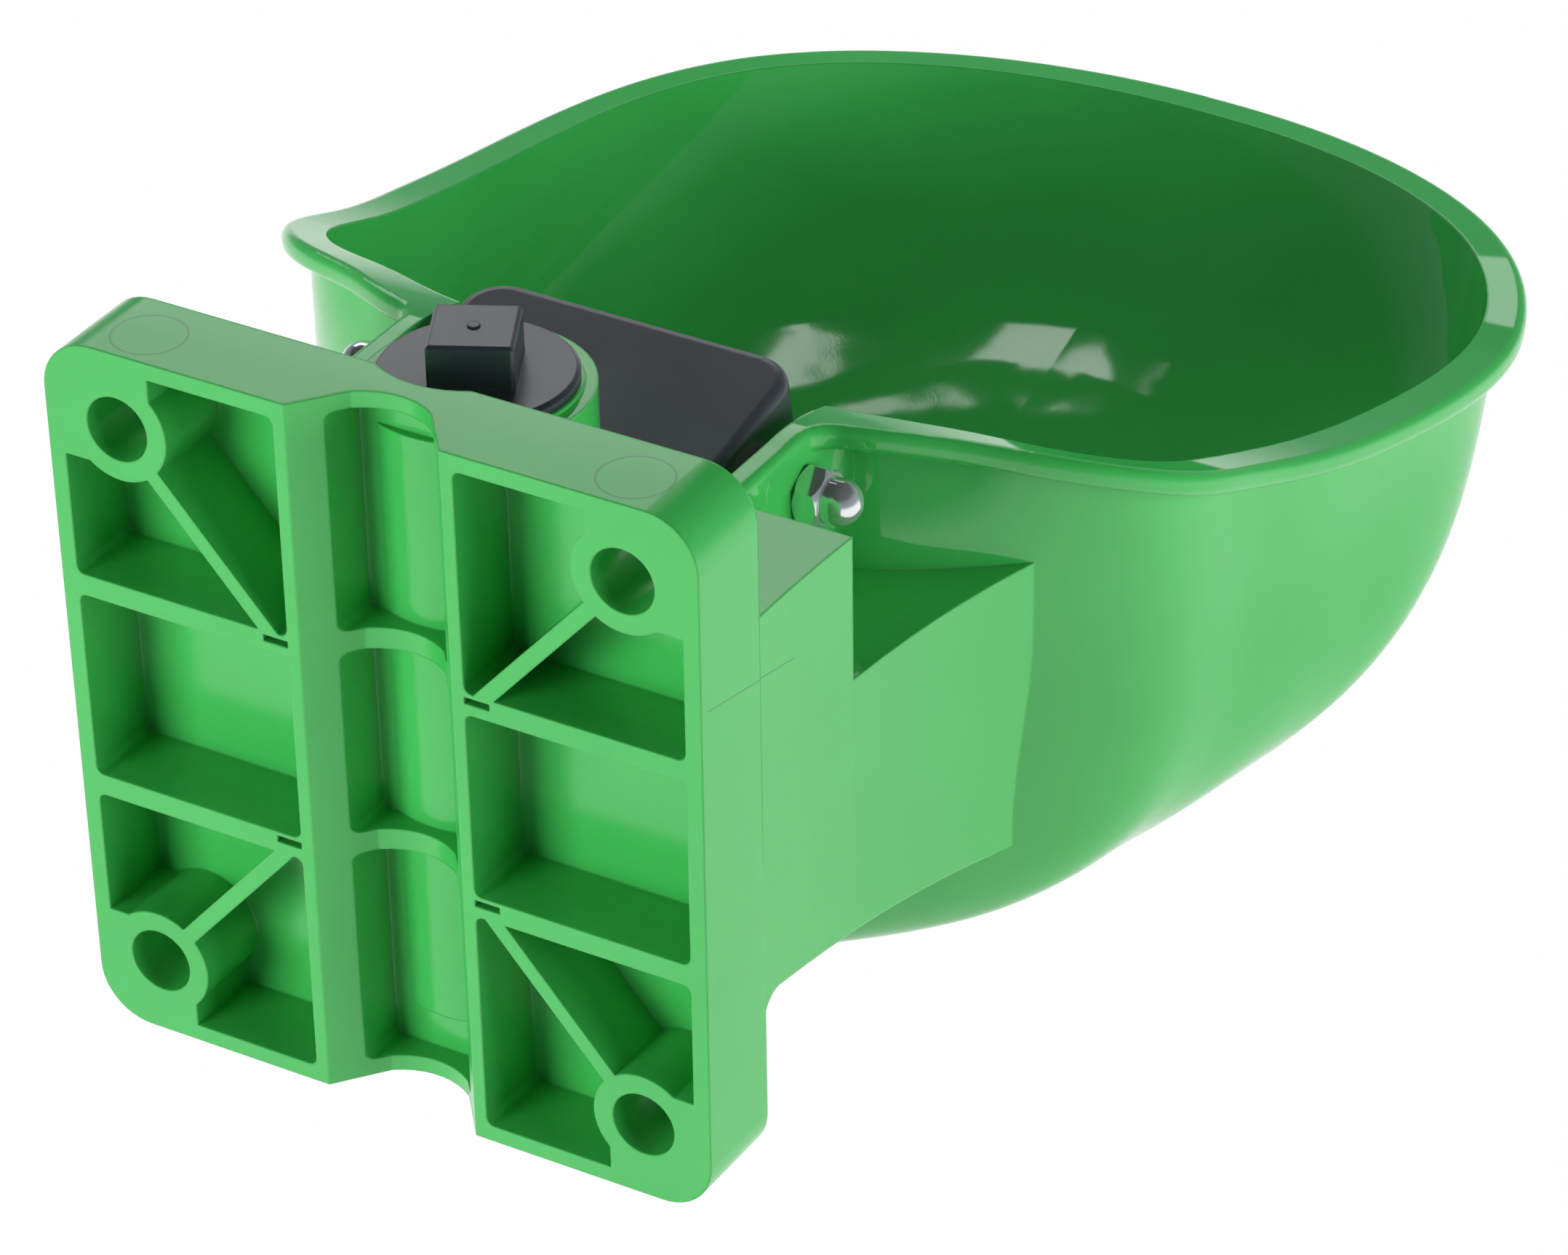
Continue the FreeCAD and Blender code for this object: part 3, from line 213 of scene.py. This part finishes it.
def mould_traces(tree, at):
    """What the mould leaves on the flange and cheeks: 1 on its thin lines, 0 elsewhere."""
    # the traces lie alike on both sides, so they are drawn by the distance from the middle
    apart = add(tree, "ShaderNodeMath", {0: at.outputs["X"]}, operation="ABSOLUTE")
    # a ring on the flange's top
    flat = add(tree, "ShaderNodeCombineXYZ", {"X": apart.outputs["Value"], "Y": at.outputs["Y"]})
    reach = add(
        tree, "ShaderNodeVectorMath", {0: flat.outputs["Vector"]}, operation="DISTANCE",
        in_1=EJECTOR_AT)
    ring = add(
        tree, "ShaderNodeMath", {0: reach.outputs["Value"]}, operation="COMPARE",
        in_1=EJECTOR_RADIUS, in_2=EJECTOR_HALF_LINE)
    top = add(
        tree, "ShaderNodeMath", {0: at.outputs["Z"]}, operation="GREATER_THAN",
        in_1=FLANGE_TOP_Z)
    mark = add(
        tree, "ShaderNodeMath", {0: ring.outputs["Value"], 1: top.outputs["Value"]},
        operation="MULTIPLY")
    # a line across the cheek's outside, next to the flange
    rise = add(
        tree, "ShaderNodeMath", {0: at.outputs["Y"]}, operation="MULTIPLY_ADD",
        in_1=PARTING_RISE, in_2=PARTING_Z)
    line = add(
        tree, "ShaderNodeMath", {0: at.outputs["Z"], 1: rise.outputs["Value"]},
        operation="COMPARE", in_2=PARTING_HALF_LINE)
    outside = add(
        tree, "ShaderNodeMath", {0: apart.outputs["Value"]}, operation="GREATER_THAN",
        in_1=CHEEK_OUTSIDE_X)
    near = add(
        tree, "ShaderNodeMath", {0: at.outputs["Y"]}, operation="COMPARE",
        in_1=PARTING_MIDDLE_Y, in_2=PARTING_REACH_Y)
    cheek = add(
        tree, "ShaderNodeMath", {0: outside.outputs["Value"], 1: near.outputs["Value"]},
        operation="MULTIPLY")
    parting = add(
        tree, "ShaderNodeMath", {0: line.outputs["Value"], 1: cheek.outputs["Value"]},
        operation="MULTIPLY")
    return add(
        tree, "ShaderNodeMath", {0: mark.outputs["Value"], 1: parting.outputs["Value"]},
        operation="MAXIMUM").outputs["Value"]


def moulded_polypropylene(name, colours, trace_colour, edge_radius):
    """Injection-moulded polypropylene.

    The polished part of the tool leaves a glossy skin on the bowl, the plainer part a duller
    one on the flange. The plastic's flow bends the reflections a little, and light that enters
    the plastic keeps its shadows soft and green."""
    material, tree = new_material(name)
    place = add(tree, "ShaderNodeTexCoord").outputs["Object"]
    at = add(tree, "ShaderNodeSeparateXYZ", {"Vector": place})
    waves = add(
        tree, "ShaderNodeTexNoise", {"Vector": place}, in_Scale=1 / FLOW_WAVE, in_Detail=2.0)
    # the polish's own grain is too fine to show, and is drawn coarser than it is
    grain = add(
        tree, "ShaderNodeTexNoise", {"Vector": place}, in_Scale=1 / TOOL_POLISH, in_Detail=3.0)

    # roughness: the tool's finish first, then the flow and the grain
    finish = add(
        tree, "ShaderNodeMapRange", {"Value": at.outputs["Y"]},
        in_From_Min=POLISHED_Y, in_From_Max=PLAIN_Y,
        in_To_Min=POLISHED_ROUGHNESS, in_To_Max=PLAIN_ROUGHNESS)
    flow = add(
        tree, "ShaderNodeMapRange", {"Value": waves.outputs["Fac"]},
        in_To_Min=0.0, in_To_Max=0.012)
    fine = add(
        tree, "ShaderNodeMapRange", {"Value": grain.outputs["Fac"]},
        in_To_Min=-0.008, in_To_Max=0.012)
    base = add(
        tree, "ShaderNodeMath", {0: finish.outputs["Result"], 1: flow.outputs["Result"]},
        operation="ADD")
    rough = add(
        tree, "ShaderNodeMath", {0: base.outputs["Value"], 1: fine.outputs["Result"]},
        operation="ADD")

    # colour: the pigment clouds slightly, and the mould's traces are drawn a little darker
    cloud = add(
        tree, "ShaderNodeTexNoise", {"Vector": place}, in_Scale=1 / PIGMENT_CLOUD,
        in_Detail=3.0)
    pigment = add(tree, "ShaderNodeValToRGB", {"Fac": cloud.outputs["Fac"]})
    set_stops(pigment, ((CLOUD_START, colours[0]), (CLOUD_END, colours[1])))
    traces = mould_traces(tree, at)
    # sockets 6 and 7 are the two colours of a Mix node
    colour = add(
        tree, "ShaderNodeMix", {0: traces, 6: pigment.outputs["Color"]},
        data_type="RGBA", in_7=trace_colour)

    # relief: rounded edges, then flow, grain and traces
    edge = add(tree, "ShaderNodeBevel", in_Radius=edge_radius, samples=4)
    swell = add(
        tree, "ShaderNodeBump", {"Height": waves.outputs["Fac"], "Normal": edge.outputs["Normal"]},
        in_Strength=0.05, in_Distance=0.5 * MM)
    polish = add(
        tree, "ShaderNodeBump", {"Height": grain.outputs["Fac"], "Normal": swell.outputs["Normal"]},
        in_Strength=0.008, in_Distance=0.05 * MM)
    cut = add(
        tree, "ShaderNodeBump", {"Height": traces, "Normal": polish.outputs["Normal"]},
        invert=True, in_Strength=0.5, in_Distance=0.12 * MM)

    skin = add(
        tree, "ShaderNodeBsdfPrincipled",
        {"Base Color": colour.outputs[2], "Roughness": rough.outputs["Value"],
         "Normal": cut.outputs["Normal"]},
        in_IOR=1.49, in_Specular_IOR_Level=0.75,
        in_Subsurface_Weight=0.12, in_Subsurface_Radius=(0.6, 1.2, 0.5),
        in_Subsurface_Scale=1.2 * MM)
    add(tree, "ShaderNodeOutputMaterial", {"Surface": skin.outputs["BSDF"]})
    return material


def satin_moulding(name, colours, roughness, shine=0.5):
    """Moulded polyamide or acetal, or pressed rubber.

    The spark-eroded tool leaves a fine grain, which spreads each highlight to a soft sheen."""
    material, tree = new_material(name)
    place = add(tree, "ShaderNodeTexCoord").outputs["Object"]
    # a real spark grain is finer than this, and is drawn as coarse as it needs to show
    grain = add(
        tree, "ShaderNodeTexNoise", {"Vector": place}, in_Scale=1 / SPARK_GRAIN, in_Detail=4.0)
    cloud = add(
        tree, "ShaderNodeTexNoise", {"Vector": place}, in_Scale=1 / SATIN_CLOUD, in_Detail=4.0)
    pigment = add(tree, "ShaderNodeValToRGB", {"Fac": cloud.outputs["Fac"]})
    set_stops(pigment, ((CLOUD_START, colours[0]), (SATIN_CLOUD_END, colours[1])))
    rough = add(
        tree, "ShaderNodeMapRange", {"Value": cloud.outputs["Fac"]},
        in_To_Min=roughness + SATIN_STRAY[0], in_To_Max=roughness + SATIN_STRAY[1])
    edge = add(tree, "ShaderNodeBevel", in_Radius=0.5 * MM, samples=4)
    bump = add(
        tree, "ShaderNodeBump", {"Height": grain.outputs["Fac"], "Normal": edge.outputs["Normal"]},
        in_Strength=0.12, in_Distance=0.06 * MM)
    skin = add(
        tree, "ShaderNodeBsdfPrincipled",
        {"Base Color": pigment.outputs["Color"], "Roughness": rough.outputs["Result"],
         "Normal": bump.outputs["Normal"]},
        in_IOR=1.53, in_Specular_IOR_Level=shine)
    add(tree, "ShaderNodeOutputMaterial", {"Surface": skin.outputs["BSDF"]})
    return material


def worked_metal(name, colours, roughness, marks, depth, metallic=1.0):
    """Turned metal, or pressed and plated metal.

    Fine marks of the given size break up its shine."""
    material, tree = new_material(name)
    place = add(tree, "ShaderNodeTexCoord").outputs["Object"]
    tooling = add(
        tree, "ShaderNodeTexNoise", {"Vector": place}, in_Scale=1 / marks, in_Detail=3.0)
    cloud = add(
        tree, "ShaderNodeTexNoise", {"Vector": place}, in_Scale=1 / METAL_CLOUD, in_Detail=3.0)
    tone = add(tree, "ShaderNodeValToRGB", {"Fac": cloud.outputs["Fac"]})
    set_stops(tone, ((CLOUD_START, colours[0]), (CLOUD_END, colours[1])))
    rough = add(
        tree, "ShaderNodeMapRange", {"Value": cloud.outputs["Fac"]},
        in_To_Min=roughness * METAL_STRAY[0], in_To_Max=roughness * METAL_STRAY[1])
    edge = add(tree, "ShaderNodeBevel", in_Radius=0.3 * MM, samples=4)
    bump = add(
        tree, "ShaderNodeBump",
        {"Height": tooling.outputs["Fac"], "Normal": edge.outputs["Normal"]},
        in_Strength=depth, in_Distance=0.03 * MM)
    skin = add(
        tree, "ShaderNodeBsdfPrincipled",
        {"Base Color": tone.outputs["Color"], "Roughness": rough.outputs["Result"],
         "Normal": bump.outputs["Normal"]},
        in_Metallic=metallic)
    add(tree, "ShaderNodeOutputMaterial", {"Surface": skin.outputs["BSDF"]})
    return material


def lay_floor(middle, settings):
    """The pale floor below the object."""
    deselect()
    bpy.ops.mesh.primitive_plane_add(
        size=FLOOR_SIZE, location=(middle.x, middle.y, CAD_BOX[0][2] - settings.floor_drop))
    floor = bpy.context.object
    floor.name = "studio_floor"
    # pressed white card with a matt face: it sends soft light back up under the object, and
    # where it is looked at, straight, in gloss or through glass, it is plain white
    material, tree = new_material("matt_white_card")
    rays = add(tree, "ShaderNodeLightPath")
    direct = add(
        tree, "ShaderNodeMath",
        {0: rays.outputs["Is Camera Ray"], 1: rays.outputs["Is Glossy Ray"]},
        operation="MAXIMUM")
    seen = add(
        tree, "ShaderNodeMath",
        {0: direct.outputs["Value"], 1: rays.outputs["Is Transmission Ray"]},
        operation="MAXIMUM")
    card = add(tree, "ShaderNodeBsdfDiffuse", in_Color=settings.floor_colour)
    white = add(
        tree, "ShaderNodeEmission", in_Color=settings.backdrop_colour, in_Strength=1.0)
    mix = add(
        tree, "ShaderNodeMixShader",
        {0: seen.outputs["Value"], 1: card.outputs["BSDF"], 2: white.outputs["Emission"]})
    add(tree, "ShaderNodeOutputMaterial", {"Surface": mix.outputs["Shader"]})
    floor.data.materials.append(material)


def paint_room(scene, settings):
    """The room that the object mirrors, with a white backdrop for the camera alone."""
    world = bpy.data.worlds.new("pale_studio")
    scene.world = world
    world.use_nodes = True
    tree = world.node_tree
    tree.nodes.clear()
    rays = add(tree, "ShaderNodeLightPath")
    way = add(tree, "ShaderNodeTexCoord")
    height = add(tree, "ShaderNodeSeparateXYZ", {"Vector": way.outputs["Generated"]})
    level = add(
        tree, "ShaderNodeMapRange", {"Value": height.outputs["Z"]},
        in_From_Min=-1.0, in_From_Max=1.0)
    # a white floor, grey walls and a dim ceiling, so that the bowl's inside stays deep
    room = add(tree, "ShaderNodeValToRGB", {"Fac": level.outputs["Result"]})
    set_stops(room, [((way_up + 1) / 2, linear(shade)) for way_up, shade in ROOM])
    mirrored = add(
        tree, "ShaderNodeBackground", {"Color": room.outputs["Color"]}, in_Strength=1.0)
    white = add(
        tree, "ShaderNodeBackground", in_Color=settings.backdrop_colour, in_Strength=1.0)
    mix = add(
        tree, "ShaderNodeMixShader",
        {0: rays.outputs["Is Camera Ray"], 1: mirrored.outputs["Background"],
         2: white.outputs["Background"]})
    add(tree, "ShaderNodeOutputWorld", {"Surface": mix.outputs["Shader"]})


def soft_light(name, place, aim, size, power, mirrored=True):
    """One rectangular soft box that faces a point, mirrored in gloss or hidden from it."""
    light = bpy.data.lights.new(name, "AREA")
    light.shape = "RECTANGLE"
    light.size, light.size_y = size
    light.energy = power
    obj = bpy.data.objects.new(name, light)
    bpy.context.scene.collection.objects.link(obj)
    obj.location = place
    obj.rotation_euler = (Vector(aim) - Vector(place)).to_track_quat("-Z", "Y").to_euler()
    obj.visible_glossy = mirrored
    return obj


def hang_lights(middle, power):
    """The large soft boxes round the object, and the small ones that the bowl mirrors."""
    for name, place, size, share, mirrored in SOFT_BOXES:
        soft_light(name, place, middle, size, power * share, mirrored)
    soft_light(
        "top_box", (middle.x, middle.y, TOP_BOX_Z), middle, TOP_BOX_SIZE,
        power * TOP_BOX_SHARE, False)
    way = Vector(CEILING_WAY).normalized()
    across = Vector((0, 0, 1)).cross(way).normalized()
    for across_by, up_by, wide, long, turn, glow in CEILING_BOXES:
        spot = way + across * across_by + way.cross(across) * up_by
        box = soft_light(
            "ceiling_box", Vector(BOWL_FLOOR_AT) + spot * CEILING_REACH, BOWL_FLOOR_AT,
            (wide, long), glow * wide * long)
        box.rotation_euler.rotate_axis("Z", math.radians(turn))


def camera_matrix():
    """The camera's place and turn from its azimuth, elevation and roll."""
    azimuth, elevation, roll = (
        math.radians(angle) for angle in (CAMERA_AZIMUTH, CAMERA_ELEVATION, CAMERA_ROLL))
    back = Vector((
        math.sin(azimuth) * math.cos(elevation),
        -math.cos(azimuth) * math.cos(elevation),
        math.sin(elevation)))
    right = (-back).cross(Vector((0, 0, 1))).normalized()
    up = right.cross(-back)
    tilted = right * math.cos(roll) + up * math.sin(roll)
    top = up * math.cos(roll) - right * math.sin(roll)
    turn = Matrix((tilted, top, back)).transposed().to_4x4()
    return Matrix.Translation(CAMERA_AT) @ turn


def place_camera(scene):
    """The camera at the photograph's viewing angle."""
    camera = bpy.data.cameras.new("photo_camera")
    camera.sensor_width = SENSOR_MM
    camera.lens = PHOTO_FOCAL_PX / PHOTO_WIDTH * SENSOR_MM
    camera.clip_start = CAMERA_NEAR
    camera.clip_end = CAMERA_FAR
    obj = bpy.data.objects.new("photo_camera", camera)
    scene.collection.objects.link(obj)
    obj.matrix_world = camera_matrix()
    scene.camera = obj


class BowlSettings(bpy.types.PropertyGroup):
    """Sizes, colours and light that a user would change."""
    light_power: FloatProperty(
        name="Light power", description="Power from which each soft box takes its share",
        default=18.0, min=0.0, unit="POWER")
    floor_drop: FloatProperty(
        name="Floor drop", description="How far the floor lies below the object",
        default=0.16, min=0.0, unit="LENGTH")
    edge_radius: FloatProperty(
        name="Moulded edge", description="Radius drawn on the green moulding's sharp edges",
        default=0.7 * MM, min=0.0, precision=4, unit="LENGTH")
    green_deep: FloatVectorProperty(
        name="Green, deep", description="Green plastic where the pigment lies thick",
        default=linear("#3db352"), size=4, min=0.0, max=1.0, subtype="COLOR")
    green_light: FloatVectorProperty(
        name="Green, light", description="Green plastic where the pigment lies thin",
        default=linear("#43ba58"), size=4, min=0.0, max=1.0, subtype="COLOR")
    green_traces: FloatVectorProperty(
        name="Green, traces", description="Thin lines that the mould leaves in the plastic",
        default=linear("#319646"), size=4, min=0.0, max=1.0, subtype="COLOR")
    plug_deep: FloatVectorProperty(
        name="Plug, deep", description="Black plastic of the plug, darker clouds",
        default=linear("#242a30"), size=4, min=0.0, max=1.0, subtype="COLOR")
    plug_light: FloatVectorProperty(
        name="Plug, light", description="Black plastic of the plug, paler clouds",
        default=linear("#2c3238"), size=4, min=0.0, max=1.0, subtype="COLOR")
    tongue_deep: FloatVectorProperty(
        name="Tongue, deep", description="Charcoal plastic of the tongue, darker clouds",
        default=linear("#3b4146"), size=4, min=0.0, max=1.0, subtype="COLOR")
    tongue_light: FloatVectorProperty(
        name="Tongue, light", description="Charcoal plastic of the tongue, paler clouds",
        default=linear("#444a50"), size=4, min=0.0, max=1.0, subtype="COLOR")
    floor_colour: FloatVectorProperty(
        name="Floor card", description="Card that sends light back up under the object",
        default=linear("#e8e8e8"), size=4, min=0.0, max=1.0, subtype="COLOR")
    backdrop_colour: FloatVectorProperty(
        name="Backdrop", description="Background that the camera sees",
        default=linear("#fefefe"), size=4, min=0.0, max=1.0, subtype="COLOR")


class BowlOperator:
    """What all operators of this part share."""
    bl_options = {"REGISTER", "UNDO"}


class BOWL_OT_stage(BowlOperator, bpy.types.Operator):
    """Floor, backdrop, soft lights and the camera"""
    bl_idname = "bowl.stage"
    bl_label = "Stage and camera"

    def execute(self, context):
        settings = context.scene.bowl_settings
        middle = (Vector(CAD_BOX[0]) + Vector(CAD_BOX[1])) / 2
        lay_floor(middle, settings)
        paint_room(context.scene, settings)
        hang_lights(middle, settings.light_power)
        place_camera(context.scene)
        context.scene.view_settings.view_transform = "Standard"
        return {"FINISHED"}


class BOWL_OT_green_moulding(BowlOperator, bpy.types.Operator):
    """Finish of the green moulding: flange, cheeks, water tube, neck and bowl"""
    bl_idname = "bowl.green_moulding"
    bl_label = "Green moulding"

    def execute(self, context):
        settings = context.scene.bowl_settings
        # polypropylene, moulded in a polished tool: bright green, sharp reflections in the bowl
        dress(["bowl_body"], moulded_polypropylene(
            "moulded_green_polypropylene", (settings.green_deep, settings.green_light),
            settings.green_traces, settings.edge_radius))
        return {"FINISHED"}


class BOWL_OT_plug(BowlOperator, bpy.types.Operator):
    """Finish of the threaded plug"""
    bl_idname = "bowl.plug"
    bl_label = "Plug"

    def execute(self, context):
        settings = context.scene.bowl_settings
        # polyamide, moulded and filled black: its square head shows broad pale sheens
        dress(["top_plug"], satin_moulding(
            "moulded_black_polyamide", (settings.plug_deep, settings.plug_light),
            roughness=0.32, shine=1.0))
        return {"FINISHED"}


class BOWL_OT_tongue(BowlOperator, bpy.types.Operator):
    """Finish of the tongue that the animal presses"""
    bl_idname = "bowl.tongue"
    bl_label = "Tongue"

    def execute(self, context):
        settings = context.scene.bowl_settings
        # polyamide, moulded: charcoal beside the plug's black, and a little duller
        dress(["tongue"], satin_moulding(
            "moulded_charcoal_polyamide", (settings.tongue_deep, settings.tongue_light),
            roughness=0.34, shine=0.8))
        return {"FINISHED"}


class BOWL_OT_bushes(BowlOperator, bpy.types.Operator):
    """Finish of the tongue's bushes and of the valve seat"""
    bl_idname = "bowl.bushes"
    bl_label = "Bushes and seat"

    def execute(self, context):
        # acetal, moulded in its natural colour: milky white with a waxy sheen
        dress(["bush_left", "bush_right", "valve_seat"], satin_moulding(
            "moulded_white_acetal", [linear(shade) for shade in WHITE_ACETAL], roughness=0.3))
        return {"FINISHED"}


class BOWL_OT_seals(BowlOperator, bpy.types.Operator):
    """Finish of the rubber seals"""
    bl_idname = "bowl.seals"
    bl_label = "Seals"

    def execute(self, context):
        # nitrile rubber, pressed: nearly black and quite dull
        dress(["plug_seal", "body_seal", "stem_ring", "valve_seal"], satin_moulding(
            "pressed_black_rubber", [linear(shade) for shade in BLACK_RUBBER], roughness=0.65))
        return {"FINISHED"}


class BOWL_OT_cap_nuts(BowlOperator, bpy.types.Operator):
    """Finish of the two cap nuts"""
    bl_idname = "bowl.cap_nuts"
    bl_label = "Cap nuts"

    def execute(self, context):
        # bright zinc, plated over pressed steel: a mirror, softened by the clear film on it,
        # which is why it isn't wholly metallic
        dress(["cap_nuts"], worked_metal(
            "bright_zinc_plate", [linear(shade) for shade in ZINC_PLATE], roughness=0.1,
            marks=PLATE_RIPPLE, depth=0.05, metallic=0.82))
        return {"FINISHED"}


class BOWL_OT_steel_pieces(BowlOperator, bpy.types.Operator):
    """Finish of the axle, stem, clip, ring and spring, and a mesh of the spring's own"""
    bl_idname = "bowl.steel_pieces"
    bl_label = "Steel pieces"

    def execute(self, context):
        # stainless steel, turned or drawn: grey, with a shine that the tool marks spread
        steel = worked_metal(
            "turned_stainless_steel", [linear(shade) for shade in STAINLESS_STEEL],
            roughness=0.25, marks=TURNING_FEED, depth=0.25)
        dress(["tongue_axle", "valve_stem", "valve_spring", "seal_clip", "retaining_ring"], steel)
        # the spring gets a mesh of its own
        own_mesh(NODES["valve_spring"])
        return {"FINISHED"}


class BOWL_OT_brass_pieces(BowlOperator, bpy.types.Operator):
    """Finish of the valve body and the spring's cap"""
    bl_idname = "bowl.brass_pieces"
    bl_label = "Brass pieces"

    def execute(self, context):
        # free-cutting brass, turned: warm yellow, with a shine that the tool marks spread
        brass = worked_metal(
            "turned_brass", [linear(shade) for shade in BRASS],
            roughness=0.22, marks=TURNING_FEED, depth=0.25)
        dress(["valve_body", "spring_cap"], brass)
        return {"FINISHED"}


class BOWL_PT_panel(bpy.types.Panel):
    """Lists the settings and the pieces in the sidebar"""
    bl_idname = "BOWL_PT_panel"
    bl_label = "Drinking bowl"
    bl_space_type = "VIEW_3D"
    bl_region_type = "UI"
    bl_category = "Drinking bowl"

    def draw(self, context):
        settings = context.scene.bowl_settings
        for name in settings.__annotations__:
            self.layout.prop(settings, name)
        for operator in OPERATORS:
            self.layout.operator(operator.bl_idname)


OPERATORS = (
    BOWL_OT_stage, BOWL_OT_green_moulding, BOWL_OT_plug, BOWL_OT_tongue, BOWL_OT_bushes,
    BOWL_OT_seals, BOWL_OT_cap_nuts, BOWL_OT_steel_pieces, BOWL_OT_brass_pieces,
)
CLASSES = (BowlSettings, *OPERATORS, BOWL_PT_panel)


def register():
    """Makes the settings, the operators and the panel known to Blender."""
    for each in CLASSES:
        bpy.utils.register_class(each)
    bpy.types.Scene.bowl_settings = PointerProperty(type=BowlSettings)


def unregister():
    """Takes them away again."""
    del bpy.types.Scene.bowl_settings
    for each in reversed(CLASSES):
        bpy.utils.unregister_class(each)


def main():
    """Registers the classes, then stages the part and dresses it piece by piece."""
    register()
    bpy.ops.bowl.stage()
    bpy.ops.bowl.green_moulding()
    bpy.ops.bowl.plug()
    bpy.ops.bowl.tongue()
    bpy.ops.bowl.bushes()
    bpy.ops.bowl.seals()
    bpy.ops.bowl.cap_nuts()
    bpy.ops.bowl.steel_pieces()
    bpy.ops.bowl.brass_pieces()


if __name__ == "__main__":
    main()
